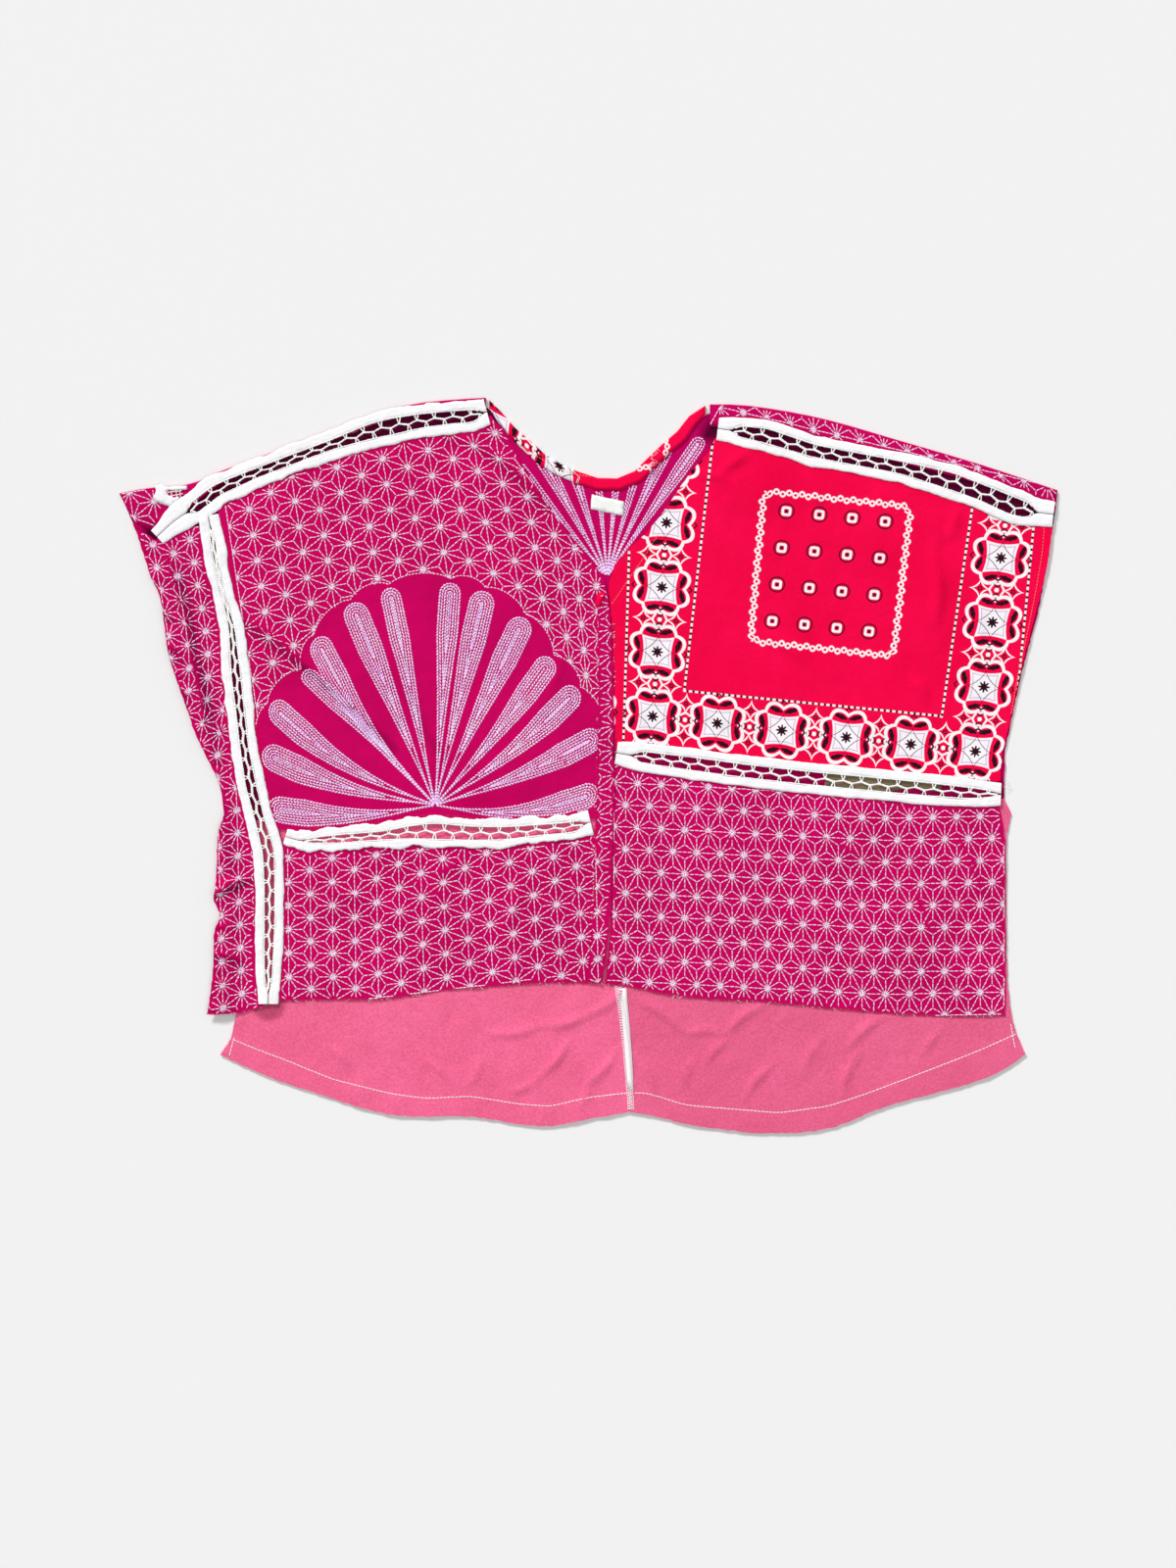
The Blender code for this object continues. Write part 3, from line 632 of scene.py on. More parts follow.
# %% Stitch tree
def stitch_tree():
    tree = bpy.data.node_groups.new("stitches", "GeometryNodeTree")
    sockets = {"Edges": "Geometry", "Width": "Float", "Height": "Float", "Reach": "Float",
               "Unevenness": "Float", "Seed": "Int", "Material": "Material"}
    for label, kind in sockets.items():
        tree.interface.new_socket(label, in_out="INPUT", socket_type="NodeSocket" + kind)
    tree.interface.new_socket("Stitches", in_out="OUTPUT", socket_type="NodeSocketGeometry")

    def step(kind, inputs, **settings):
        """One node: what goes into its sockets is another node's output or a value."""
        node = tree.nodes.new(kind)
        for label, value in settings.items():
            setattr(node, label, value)
        for slot, value in inputs.items():
            if isinstance(value, bpy.types.NodeSocket):
                tree.links.new(value, node.inputs[slot])
            else:
                node.inputs[slot].default_value = value
        return node

    given = step("NodeGroupInput", {}).outputs
    ends = step("GeometryNodeInputMeshEdgeVertices", {}).outputs
    run = step("ShaderNodeVectorMath", {0: ends["Position 2"], 1: ends["Position 1"]},
               operation="SUBTRACT")
    keep = step("GeometryNodeCaptureAttribute", {"Geometry": given["Edges"]}, domain="EDGE")
    keep.capture_items.new("VECTOR", "run")
    tree.links.new(run.outputs["Vector"], keep.inputs["run"])
    run = keep.outputs["run"]
    points = step("GeometryNodeMeshToPoints", {"Mesh": keep.outputs["Geometry"]}, mode="EDGES")

    along = step("FunctionNodeAlignRotationToVector", {"Vector": run}, axis="Z")
    level = step("FunctionNodeAlignRotationToVector",
                 {"Vector": (0.0, 0.0, 1.0), "Rotation": along.outputs["Rotation"]},
                 axis="Y", pivot_axis="Z")

    length = step("ShaderNodeVectorMath", {0: run}, operation="LENGTH").outputs["Value"]
    reach = Sum(tree, length) * Sum(tree, given["Reach"])
    least = Sum(tree, given["Unevenness"]) * -1.0 + 1.0
    chance = step("FunctionNodeRandomValue", {"Seed": given["Seed"]}, data_type="FLOAT")
    lowest, highest = [slot for slot in chance.inputs if slot.type == "VALUE"][:2]
    tree.links.new(least.socket, lowest)
    highest.default_value = 1.0
    number = [slot for slot in chance.outputs if slot.type == "VALUE"][0]
    width = Sum(tree, given["Width"]) * Sum(tree, number)
    size = step("ShaderNodeCombineXYZ",
                {"X": width.socket, "Y": given["Height"], "Z": reach.socket})

    bead = step("GeometryNodeMeshUVSphere", {"Segments": 4, "Rings": 3, "Radius": 0.5})
    place = step("GeometryNodeInstanceOnPoints", {
        "Points": points.outputs["Points"], "Instance": bead.outputs["Mesh"],
        "Rotation": level.outputs["Rotation"], "Scale": size.outputs["Vector"]})
    real = step("GeometryNodeRealizeInstances", {"Geometry": place.outputs["Instances"]})
    smooth = step("GeometryNodeSetShadeSmooth", {"Geometry": real.outputs["Geometry"]})
    dress = step("GeometryNodeSetMaterial", {"Geometry": smooth.outputs["Geometry"],
                                             "Material": given["Material"]})
    step("NodeGroupOutput", {"Stitches": dress.outputs["Geometry"]})
    return tree


stitches = stitch_tree()
stitch_inputs = {item.name: item.identifier for item in stitches.interface.items_tree}


# %% Sewing along lines
def sew(name, material, lines, width, height, seed, reach=1.0, uneven=0.3):
    """One plain mesh of stitches, one for each line from a start to an end, in metres."""
    lines = np.asarray(lines, float).reshape(-1, 2, 3)
    edges = [(2 * i, 2 * i + 1) for i in range(len(lines))]
    mesh = bpy.data.meshes.new(name + "_lines")
    mesh.from_pydata([tuple(p) for p in lines.reshape(-1, 3)], edges, [])
    source = new_object(name + "_lines", mesh)
    modifier = source.modifiers.new("stitches", "NODES")
    modifier.node_group = stitches
    values = {"Width": width, "Height": height, "Reach": reach, "Unevenness": uneven,
              "Seed": seed, "Material": material}
    for label, value in values.items():
        modifier[stitch_inputs[label]] = value
    bpy.context.view_layer.update()
    depsgraph = bpy.context.evaluated_depsgraph_get()
    finished = bpy.data.meshes.new_from_object(source.evaluated_get(depsgraph))
    finished.name = name
    bpy.data.objects.remove(source)
    bpy.data.meshes.remove(mesh)
    print(name, "has", len(lines), "stitches,", len(finished.polygons), "faces")
    return add_piece(name, finished, material, ())


# %% Lines on the cloth
def laid(lines, surfaces, lift, covers=()):
    """Flat lines in mm laid on the topmost surface, without those that miss it or are covered."""
    result = []
    for line in lines:
        raised = []
        for x, y in np.array(line) * MM:
            z = top_height(surfaces, x, y)
            if not math.isnan(z) and math.isnan(top_height(covers, x, y)):
                raised.append((x, y, z + lift))
        if len(raised) == 2:
            result.append(raised)
    return result


def run_lengths(path):
    """How far along a path each of its points is."""
    return np.concatenate([[0.0], np.cumsum(np.linalg.norm(np.diff(path, axis=0), axis=1))])


def at_run(path, runs, run):
    """The place on a path at a run along it, or the places at several."""
    return np.stack([np.interp(run, runs, column) for column in np.transpose(path)], axis=-1)


def path_stitches(path, stitch, gap, shake):
    """A path in mm cut into equal stitches, with a gap between each and the next."""
    runs = run_lengths(path)
    count = max(1, round(runs[-1] / stitch))
    at = np.linspace(0.0, runs[-1], count + 1)
    pick = at_run(path, runs, np.concatenate([at[:-1] + gap / 2, at[1:] - gap / 2]))
    pick = pick + dice.uniform(-shake, shake, pick.shape)
    return [(pick[i], pick[count + i]) for i in range(count)]


# %% Thread
def thread_material(name, colour, sheen=0.1, gloss=0.2, rough=0.6):
    dark = tuple(c * 0.92 for c in colour)
    return cloth_material(name, dark, colour, sheen, 0.6, 0.04, gloss=gloss, rough=rough)


star_thread = thread_material("star_silk", (1.0, 0.75, 1.0), 0.1, 1.0, 0.35)


# %% [markdown]
# ## Hemp-leaf stars
# The magenta cloth is covered in the traditional hemp-leaf star. It is a net of triangles: each
# star has six neighbours, joined to it by lines, and in each triangle three more lines meet in
# the middle. So twelve lines leave each star, and the whole pattern is a formula. The cloth was
# cut and sewn by hand, so each panel has its own pitch, and its rows lean and bend a little.
# Where twelve lines meet, the thread heaps up, and a bright knot shows.


# %% Star pattern
STAR_STITCH = 3.9
STAR_GAP = -0.5
STAR_SHAKE = 0.22


def star_lines(bend, columns, rows, width, depth):
    """Stitches of a star field. The bend takes a place in the flat pattern to the panel."""
    lines = []
    for i in range(*columns):
        for j in range(*rows):
            star = np.array([i * width, (j + (i % 2) / 2) * depth])
            down = np.array([0.0, depth])
            rise, fall = np.array([width, -depth / 2]), np.array([width, depth / 2])
            pairs = [(star, star + down), (star, star + rise), (star, star + fall)]
            for first, second in ((rise, fall), (fall, down)):
                middle = star + (first + second) / 3
                pairs += [(middle, star), (middle, star + first), (middle, star + second)]
            for start, end in pairs:
                path = [bend(*(start + (end - start) * share)) for share in (0.0, 0.5, 1.0)]
                lines += path_stitches(path, STAR_STITCH, STAR_GAP, STAR_SHAKE)
    return lines


# %% How each field of stars bends
def eased(x, low, high):
    """0 below the low value, 1 above the high one, and a smooth step between."""
    share = min(max((x - low) / (high - low), 0.0), 1.0)
    return share * share * (3 - 2 * share)


def fan_bend(across, down):
    x = across - 244.3
    lean = 0.153 - 0.13 * eased(x, -70, 30)
    return x + lean * down, 252.2 - down + 0.185 * (min(x + 120, 0.0) + 124.3)


def left_band_bend(across, down):
    x = across - 249.5
    lean = 0.01 + 0.06 * eased(x, -240, 0)
    return x + lean * down, -115.4 - down + 0.123 * max(x + 213, 0.0)


def right_band_bend(across, down):
    """This panel is turned a quarter, so its stars lie close together along the rows."""
    x, fall = 33.5 + down, -0.052
    rise = fall * min(x - 33.5, 230.5) + 0.02 * max(x - 264, 0.0)
    return x, -35.6 - across + rise


def side_bend(across, down):
    lean = -0.19 + 0.16 * eased(down, 60, 200)
    return -372 + across * 0.9 - lean * down * 0.9, 190 - down + 0.12 * across


def yoke_bend(across, down):
    return 139 + down, 314 - across * 0.9 - 0.24 * (down - 10)


# %% [markdown]
# ## The fan
# One panel has a big fan sewn over it: fourteen club-shaped rays that leave one point near the
# hem. Each ray is filled with rows of chain stitch, nested like the letter U, and each has its
# own angle, length and width. The ground between the rays is plain and ends in a row of
# scallops, where the stars begin. The back has a second fan like it, half hidden at the neck.

# %% Rays
FRONT_HUB = (-137.5, -35.7)
FRONT_RAYS = (
    # angle in degrees, reach, width of the head, sag; in mm
    (181, 150, 24, 8), (163, 162, 24, 8), (148.5, 173, 22, 11), (134.5, 168, 15, -2),
    (125.5, 184, 22, 9), (112.5, 196, 23, 0), (102, 199, 18, 0), (86, 200, 19, 0),
    (77, 197, 23, 0), (64.5, 186, 23, 0), (51.5, 168, 21, 3), (39, 165, 22, 6),
    (23, 161, 22, 5), (4.5, 147, 23, 12),
)
BACK_HUB = (17.0, 170.0)
BACK_RAYS = (
    (140, 150, 13, 3), (130, 150, 14, 0), (119, 150, 13, 0), (108, 150, 11.5, 0),
    (95.5, 150, 9.5, 0), (84.5, 150, 9.5, 0), (74, 150, 9.5, 0), (65, 150, 11, 0),
    (55.5, 150, 12, 0),
)
ROWS = 6
ROW_STEP = 2.35
FAN_STITCH = 2.9
FAN_LEAN = 0.55


def heading(angle):
    return np.array([math.cos(math.radians(angle)), math.sin(math.radians(angle))])


def ray_point(hub, ray, run, side):
    """A place in a ray: how far from the hub, and how far from the ray's middle line."""
    angle, reach, _, sag = ray
    way = heading(angle)
    across = np.array([-way[1], way[0]])
    down = across if across[1] < 0 else -across
    bend = down * sag * math.sin(math.pi * min(max(run / reach, 0.0), 1.0))
    return np.array(hub) + way * run + bend + across * side


def half_width(ray, run):
    """Half the width of a ray's straight part, narrow at the hub and full near the head."""
    share = run / ray[1]
    return max(0.8, ray[2] / 2 * min(1.0, (share / 0.77) ** 1.4))


# %% Rows and scallops
SCALLOP = 7.0


def ray_rows(hub, ray):
    """The nested rows of a ray, as paths from the hub round the head and back."""
    paths = []
    head = ray[1] - ray[2] / 2
    for row in range(ROWS):
        inset = ray[2] * 0.03 + row * ROW_STEP
        runs = [r for r in np.linspace(1.0, head, 36) if half_width(ray, r) > inset]
        radius = ray[2] / 2 - inset
        if len(runs) < 4 or radius < 0.6:
            continue
        left = [ray_point(hub, ray, r, half_width(ray, r) - inset) for r in runs]
        right = [ray_point(hub, ray, r, inset - half_width(ray, r)) for r in reversed(runs)]
        cap = [
            ray_point(hub, ray, head + radius * math.sin(a), radius * math.cos(a))
            for a in np.linspace(0.25, math.pi - 0.25, 9)
        ]
        paths.append([*left, *cap, *right])
    paths.append([ray_point(hub, ray, r, 0.0) for r in np.linspace(0.3 * head, head, 20)])
    return paths


def scallop_reach(angle):
    """How far the plain ground of the front fan reaches at an angle in degrees."""
    tips = sorted((ray[0], ray[1] + 2) for ray in FRONT_RAYS)
    angles, reaches = zip(*tips)
    if angle <= angles[0] or angle >= angles[-1]:
        return np.interp(angle, angles, reaches)
    base = float(np.interp(angle, angles, reaches))
    k = int(np.searchsorted(angles, angle)) - 1
    share = (angle - angles[k]) / (angles[k + 1] - angles[k])
    return base + SCALLOP * math.sqrt(max(math.sin(math.pi * share), 0.0))


def in_fan(x, y):
    """Whether a place in mm lies on the plain ground of the front fan."""
    dx, dy = x - FRONT_HUB[0], y - FRONT_HUB[1]
    angle = math.degrees(math.atan2(dy, dx)) % 360
    if angle > 300:
        angle = angle - 360
    return dy >= -30 and math.hypot(dx, dy) < scallop_reach(min(max(angle, -5.0), 190.0))


# %% Sewing stars and fan
STAR_WIDTH, STAR_HEIGHT, STAR_LIFT = 1.20 * MM, 0.32 * MM, 0.12 * MM
STAR_FIELDS = (
    # name, panel, bend, columns, rows, width, depth
    ("fan_stars", "fan_panel", fan_bend, (-4, 16), (-5, 16), 20.5, 22.9),
    ("left_stars", "left_band", left_band_bend, (-3, 16), (-4, 8), 19.9, 21.3),
    ("right_stars", "right_band", right_band_bend, (-2, 10), (-2, 18), 19.75, 21.2),
    ("side_stars", "left_side", side_bend, (-4, 6), (-4, 22), 18.6, 20.6),
)
FAN_HEIGHT, FAN_LIFT = 0.36 * MM, 0.15 * MM


def top_of(piece):
    """A finished piece, ready to be searched for what lies on it."""
    return BVHTree.FromObject(piece, bpy.context.evaluated_depsgraph_get())


def sew_stars(name, panel, bend, columns, rows, width, depth, seed):
    """Covers a panel with stars, but for its fan and what lies under the lace."""
    lines = star_lines(bend, columns, rows, width, depth)
    if panel == "fan_panel":
        lines = [line for line in lines if not in_fan(*((line[0] + line[1]) / 2))]
    lines = laid(lines, [surface[panel]], STAR_LIFT, lace_surfaces)
    sew(name, star_thread, lines, STAR_WIDTH, STAR_HEIGHT, seed)


def sew_fan(name, hub, rays, panel, covers, width, reach, seed, lowest=-math.inf):
    """Fills the rays. The stitches lean one way in a row and the other way in the next."""
    chain = []
    for number, path in enumerate(row for ray in rays for row in ray_rows(hub, ray)):
        lean = FAN_LEAN if number % 2 else -FAN_LEAN
        for start, end in path_stitches(path, FAN_STITCH, 0.1, 0.12):
            way = (end - start) / max(np.linalg.norm(end - start), 1e-6)
            side = np.array([-way[1], way[0]]) * lean
            if (start + side)[1] > lowest:
                chain.append((start + side, end - side))
    chain = laid(chain, [surface[panel]], FAN_LIFT, covers)
    sew(name, fan_thread, chain, width * MM, FAN_HEIGHT, seed, reach)


surface = {name: top_of(piece) for name, piece in panels.items()}
for seed, row in enumerate(STAR_FIELDS):
    sew_stars(*row, seed)
# The fan's thread is speckled between lilac and white at the size of its strands: partly the
# thread's own uneven colour, and partly painted shade between the strands of each chain, on the
# lilac side.
fan_thread = cloth_material(
    "fan_silk", (0.84, 0.22, 0.98), (1.0, 0.98, 1.0), 0.1, 0.85, 0.04, gloss=1.0, rough=0.35
)
sew_fan("fan_stitches", FRONT_HUB, FRONT_RAYS, "fan_panel", lace_surfaces, 2.05, 1.12, 21)
scallops = [np.array(FRONT_HUB) + scallop_reach(a) * heading(a) for a in np.linspace(4.5, 181, 400)]
edge_row = path_stitches(scallops, 3.2, 0.3, 0.15)
edge_row = laid(edge_row, [surface["fan_panel"]], STAR_LIFT, lace_surfaces)
sew("fan_edge", star_thread, edge_row, STAR_WIDTH, STAR_HEIGHT, 22)
shown_back = [surface_of(n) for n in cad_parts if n.startswith(("front_", "neck"))]
sew_fan("back_fan_stitches", BACK_HUB, BACK_RAYS, "back", shown_back, 1.90, 1.1, 23, 172)


# %% [markdown]
# ## The bandana print
# The red panel is cut from a printed bandana: a border of flower medallions joined by small
# links, dashed lines on both sides of it, and in the middle a frame of scrolls round sixteen
# dots. One unit of the print is the step from one medallion to the next. A UV map carries these
# units, because the cloth was sewn in a little askew, and the material draws the print from
# formulas in those units. Each part of the print folds the plane by its own symmetry first.

# %% Print units
PRINT_STEP = 57.9
PRINT_START = (57.6, 44.0)
# How far in mm a row of the print drops, and a column leans, in one unit. The lean grows across.
ROW_DROP, COLUMN_LEAN, LEAN_GROWTH = 6.3, 4.14, 0.70


def print_units(x, y):
    """Units across and up the print, for a place on the cloth in metres."""
    across, up = 0.0, 0.0
    for _ in range(4):
        up = (y / MM - PRINT_START[1] + ROW_DROP * across) / PRINT_STEP
        lean = COLUMN_LEAN + LEAN_GROWTH * across
        across = (x / MM - PRINT_START[0] - lean * up) / PRINT_STEP
    return across, up


# %% Parts of the print
WHITE = (0.90, 0.86, 0.90)
BLACK = (0.022, 0.004, 0.012)
LAVENDER = (0.62, 0.42, 0.66)
DEEP_RED = (0.42, 0.0, 0.03)
BLUR = 0.006


def line_at(value, half, blur=BLUR):
    """1 where a value is near 0: a line of the given half width."""
    return value.absolute().inside(half, blur)


def medallion(a, b):
    """White, black and lavender masks of one medallion, from distances to its own middle."""
    far, near = a.highest(b), a.lowest(b)
    radius = length_of(a, b)
    angle = near.math("ARCTAN2", far)
    lobes = (angle * 4.0).sine().absolute()
    corner = (angle * 2.0).sine()
    edge = lobes * 0.078 + corner * corner * 0.045 + 0.335
    rim = line_at(radius - edge, 0.028)
    side = far - near * near * 0.6 - 0.212
    square = side.inside(0.0, BLUR)
    inner_line = line_at(side + 0.04, 0.007, 0.004)
    diamond = line_at((far.power(0.72) + near.power(0.72)).power(1.0 / 0.72) - 0.25, 0.010)
    petals = (angle * 8.0 + math.pi / 2).sine() * 0.022 + 0.070
    flower = (radius - petals).inside(0.0, BLUR)
    tilt = 0.32
    x, y = far - 0.312, near - 0.118
    along = y * math.cos(tilt) + x * math.sin(tilt)
    across = x * math.cos(tilt) - y * math.sin(tilt)
    tooth = (along * 75.0).sine() * 0.10 + 1.0
    leaf = (length_of(along / 0.098, across / 0.036) * tooth).inside(1.0, 0.12)
    chevron = line_at(far - 0.455 + near * 0.9, 0.013) * near.inside(0.05, BLUR)
    white = rim.highest(square)
    black = diamond.highest(flower).highest(leaf).highest(chevron)
    return white, black, inner_line * square


def link(across, along):
    """White and black masks of the small motif between two medallions."""
    six = (along * 0.5 + across * 0.866).highest(along)
    white = line_at(six - 0.098, 0.015).highest(length_of(across, along).inside(0.034, BLUR))
    side = (across - 0.25).absolute()
    star = (side.power(0.62) + along.power(0.62)).power(1.0 / 0.62)
    white = white.highest(line_at(star - 0.150, 0.024))
    ring = line_at(length_of(side, along) - 0.026, 0.009)
    vee = line_at(along - 0.15 - across * 0.6, 0.017) * across.inside(0.06, BLUR)
    return white, ring.highest(vee)


def dashes(across, along, half=0.016, step=0.092):
    """White and black masks of a dashed line."""
    body = line_at(across, half, 0.005)
    gap = along.wrapped(-step / 2, step / 2).absolute().inside(step * 0.30, 0.008)
    return body * gap, body * (-gap + 1.0)


def scrolls(u, v):
    """The frame of small curls, from distances to the middle of the frame."""
    wide, high, round_by = 1.09, 1.16, 0.16
    out_u, out_v = u.absolute() - (wide - round_by), v.absolute() - (high - round_by)
    away = length_of(out_u.highest(0.0), out_v.highest(0.0)) - round_by
    away = away + out_u.highest(out_v).lowest(0.0)
    upright = (out_v - out_u).inside(0.0, 0.004)
    along = v * upright + u * (-upright + 1.0)
    turn = along * (2 * math.pi / 0.19)
    wave = line_at(away - turn.sine() * 0.050, 0.016)
    crest = (along - 0.0475).wrapped(-0.095, 0.095)
    trough = (along + 0.0475).wrapped(-0.095, 0.095)
    upper = line_at(length_of(crest, away - 0.014) - 0.036, 0.013)
    lower = line_at(length_of(trough, away + 0.014) - 0.036, 0.013)
    return wave.highest(upper).highest(lower)


def dots(u, v):
    """White, black and deep red masks of the sixteen dots."""
    du = (u - 1.70 - (v - 1.66) * 0.035).wrapped(-0.245, 0.245).absolute()
    dv = (v - 1.66).wrapped(-0.285, 0.285).absolute()
    radius = length_of(du, dv)
    square = (du.power(4.0) + dv.power(4.0)).power(0.25)
    here = line_at(u - 2.47, 0.99) * line_at(v - 2.52, 1.13)
    white = (square.inside(0.074, BLUR) - square.inside(0.036, BLUR)) * here
    black = line_at(radius - 0.115, 0.009).highest(square.inside(0.020, BLUR)) * here
    return white, black, radius.inside(0.113, BLUR) * here


# %% Print material
BORDER_COLUMN = 5.0


def within(value, low, high):
    """1 between two values."""
    return line_at(value - (low + high) / 2, (high - low) / 2)


def bandana_print(tree, ground):
    """The whole print, painted on the red ground. Its border has a row and two columns."""
    units = tree.nodes.new("ShaderNodeUVMap")
    units.uv_map = "print"
    split = tree.nodes.new("ShaderNodeSeparateXYZ")
    tree.links.new(units.outputs["UV"], split.inputs["Vector"])
    u, v = Sum(tree, split.outputs["X"]), Sum(tree, split.outputs["Y"])
    to_column, to_row = u.absolute().lowest((u - BORDER_COLUMN).absolute()), v.absolute()
    border = to_column.lowest(to_row).inside(0.5, 0.001)
    a, b = u.wrapped(-0.5, 0.5).absolute(), v.wrapped(-0.5, 0.5).absolute()
    white, black, lavender = medallion(a, b)
    between_v, between_u = (v - 0.5).wrapped(-0.5, 0.5), (u - 0.5).wrapped(-0.5, 0.5)
    column, row = link(to_column, between_v.absolute()), link(to_row, between_u.absolute())
    in_column = to_column.inside(0.5, 0.001)
    in_row = to_row.inside(0.5, 0.001) * within(u, 0.2, 4.8)
    white = white.highest(column[0] * in_column).highest(row[0] * in_row) * border
    black = black.highest(column[1] * in_column).highest(row[1] * in_row) * border
    lavender = lavender * border
    lines = (
        dashes(u - 0.44 - v * 0.035, v) + (within(v, 0.44, 6.0),),
        dashes(u - 4.41 - v * 0.02, v) + (within(v, 0.46, 6.0),),
        dashes(v - 0.44 - u * 0.01, u) + (within(u, 0.44, 4.42),),
        dashes(u + 0.44 + v * 0.035, v) + (within(v, -0.6, 2.5),),
        dashes(u - 5.56 + v * 0.04, v) + (within(v, -0.6, 6.0),),
    )
    for one, other, share in lines:
        white, black = white.highest(one * share), black.highest(other * share)
    white = white.highest(scrolls(u - 2.49, v - 2.48))
    one, other, deep = dots(u, v)
    white, black = white.highest(one), black.highest(other)
    colour = mix(tree, deep * 0.30, ground, DEEP_RED)
    colour = mix(tree, white, colour, WHITE)
    colour = mix(tree, lavender, colour, LAVENDER)
    return mix(tree, black, colour, BLACK)


bandana_cloth = cloth_material(
    "bandana_cotton", (0.78, 0.0, 0.046), (0.92, 0.002, 0.072), pattern=bandana_print
)
panels["bandana"] = cloth_panel(
    "bandana", "front_right_bandana", bandana_cloth,
    creases=BANDANA_CREASES, uneven=0.0007, seed=31, uv=print_units,
)
surface["bandana"] = top_of(panels["bandana"])

# %% [markdown]
# ## Tape lace
# Each strip of lace is two woven tapes with a knotted net between them. The net has two rows of
# openings, set half a step apart, and a cord runs between the rows. The strips are bought by the
# metre and sewn on last, over the raw edges of the panels. Here the tapes are closed bands with
# wavy edges, and the net's cords are stitches again, laid end over end so that they look spun.

# %% Lace strips
LACES = {
    # x, y, width; in mm, down the middle of each strip
    "lace_left_shoulder": (
        (-387, 205, 16), (-372, 219, 25), (-352, 232, 29), (-333, 247, 28), (-298, 262, 26),
        (-264, 275, 26), (-229, 288, 26), (-194, 300, 31), (-176, 304, 32), (-150, 309, 30),
        (-124, 312, 29), (-106, 313, 29), (-91, 317, 24),
    ),
    "lace_left_side": (
        (-341, 224, 17), (-337, 203, 21), (-333, 177, 20), (-328, 155, 19), (-320, 124, 22),
        (-316, 80, 25), (-313, 54, 24), (-309, 18, 24), (-303, -17, 26), (-295, -48, 25),
        (-287, -77, 27), (-286, -105, 26), (-286, -140, 26), (-287, -184, 24), (-287, -214, 18),
    ),
    "lace_under_fan": (
        (-272, -64, 14), (-259, -68, 18), (-225, -66, 22), (-185, -63, 22), (-159, -60, 26),
        (-139, -59, 29), (-106, -61, 27), (-75, -61, 26), (-44, -58, 24), (-18, -56, 24),
        (2, -51, 23),
    ),
    "lace_right_shoulder": (
        (116, 302, 20), (132, 300, 25), (158, 296, 29), (202, 282, 27), (228, 277, 27),
        (281, 267, 27), (325, 255, 31), (352, 245, 30), (382, 232, 32), (400, 227, 27),
        (417, 225, 22),
    ),
    "lace_under_bandana": (
        (25, 11, 20), (44, 8, 26), (88, 2, 28), (140, -5, 28), (193, -11, 28), (246, -16, 28),
        (299, -21, 28), (343, -25, 26), (370, -26, 20),
    ),
}
OPEN_NET = {
    # the first and last share of the strip where its net lies open
    "lace_left_shoulder": (0.12, 0.98), "lace_left_side": (0.03, 0.97),
    "lace_under_fan": (0.07, 0.97), "lace_right_shoulder": (0.05, 0.94),
    "lace_under_bandana": (0.05, 0.99),
}
TAPES = {
    # width of each tape, and how far its outer edge frills, in mm
    "lace_left_shoulder": (8.4, 1.4), "lace_left_side": (8.0, 1.0), "lace_under_fan": (7.0, 2.4),
    "lace_right_shoulder": (7.6, 0.8), "lace_under_bandana": (7.8, 0.7),
}
CLOSED_GAP = 0.3
NET_PITCH = 16.6
NET_END = 6

# %% A strip's places
lace_thread = cloth_material(
    "lace_cotton", (0.84, 0.83, 0.85), (0.97, 0.96, 0.98), sheen=0.05, fleck=0.6, crumple=0.5
)
net_thread = thread_material("net_cotton", (1.0, 0.99, 0.97))


def relaxed(path, rounds):
    """A path with its corners eased. Its two ends stay."""
    for _ in range(rounds):
        path[1:-1] = path[1:-1] / 2 + (path[:-2] + path[2:]) / 4
    return path


def leftward(path):
    """The way to the left of a path, at each of its points."""
    way = np.gradient(path, axis=0)
    way /= np.linalg.norm(way, axis=1, keepdims=True)
    return np.stack([-way[:, 1], way[:, 0]], axis=1)


class Strip:
    """A lace strip: places on it by the run along it and the offset from its middle, in mm."""

    def __init__(self, name):
        table = np.array(LACES[name], float)
        runs = run_lengths(table[:, :2])
        self.name, self.length = name, runs[-1]
        self.at = np.linspace(0, runs[-1], int(runs[-1] / 2.5) + 1)
        self.line = relaxed(at_run(table, runs, self.at), 6)
        self.side = leftward(self.line[:, :2])
        self.first, self.last = (share * self.length for share in OPEN_NET[name])

    def width(self, run):
        return float(np.interp(run, self.at, self.line[:, 2]))

    def place(self, run, offset):
        return at_run(self.line[:, :2], self.at, run) + at_run(self.side, self.at, run) * offset

    def open_share(self, run):
        """0 where the two tapes are closed together and 1 where the net is open."""
        opened = eased(run, self.first - NET_END, self.first + NET_END)
        return opened * (1 - eased(run, self.last - NET_END, self.last + NET_END))

    def net_half(self, run):
        """Half the width of the net: the distance from the middle to a tape's inner edge."""
        wide = self.width(run) / 2 - TAPES[self.name][0]
        return CLOSED_GAP + (max(wide, 1.2) - CLOSED_GAP) * self.open_share(run)


# %% Tapes
def wander(count, size):
    """A slow random wave, for an edge that is not straight."""
    steps = dice.normal(0.0, 1.0, count)
    smooth = np.convolve(steps, np.ones(5) / 5, mode="same")
    return smooth * size


TAPE_PROFILE = (
    # share of the way out across a tape, share of its height
    (0.0, 0.2), (0.08, 0.7), (0.2, 1.0), (0.4, 0.82), (0.6, 0.86), (0.84, 1.0), (0.94, 0.6),
    (1.0, 0.15),
)


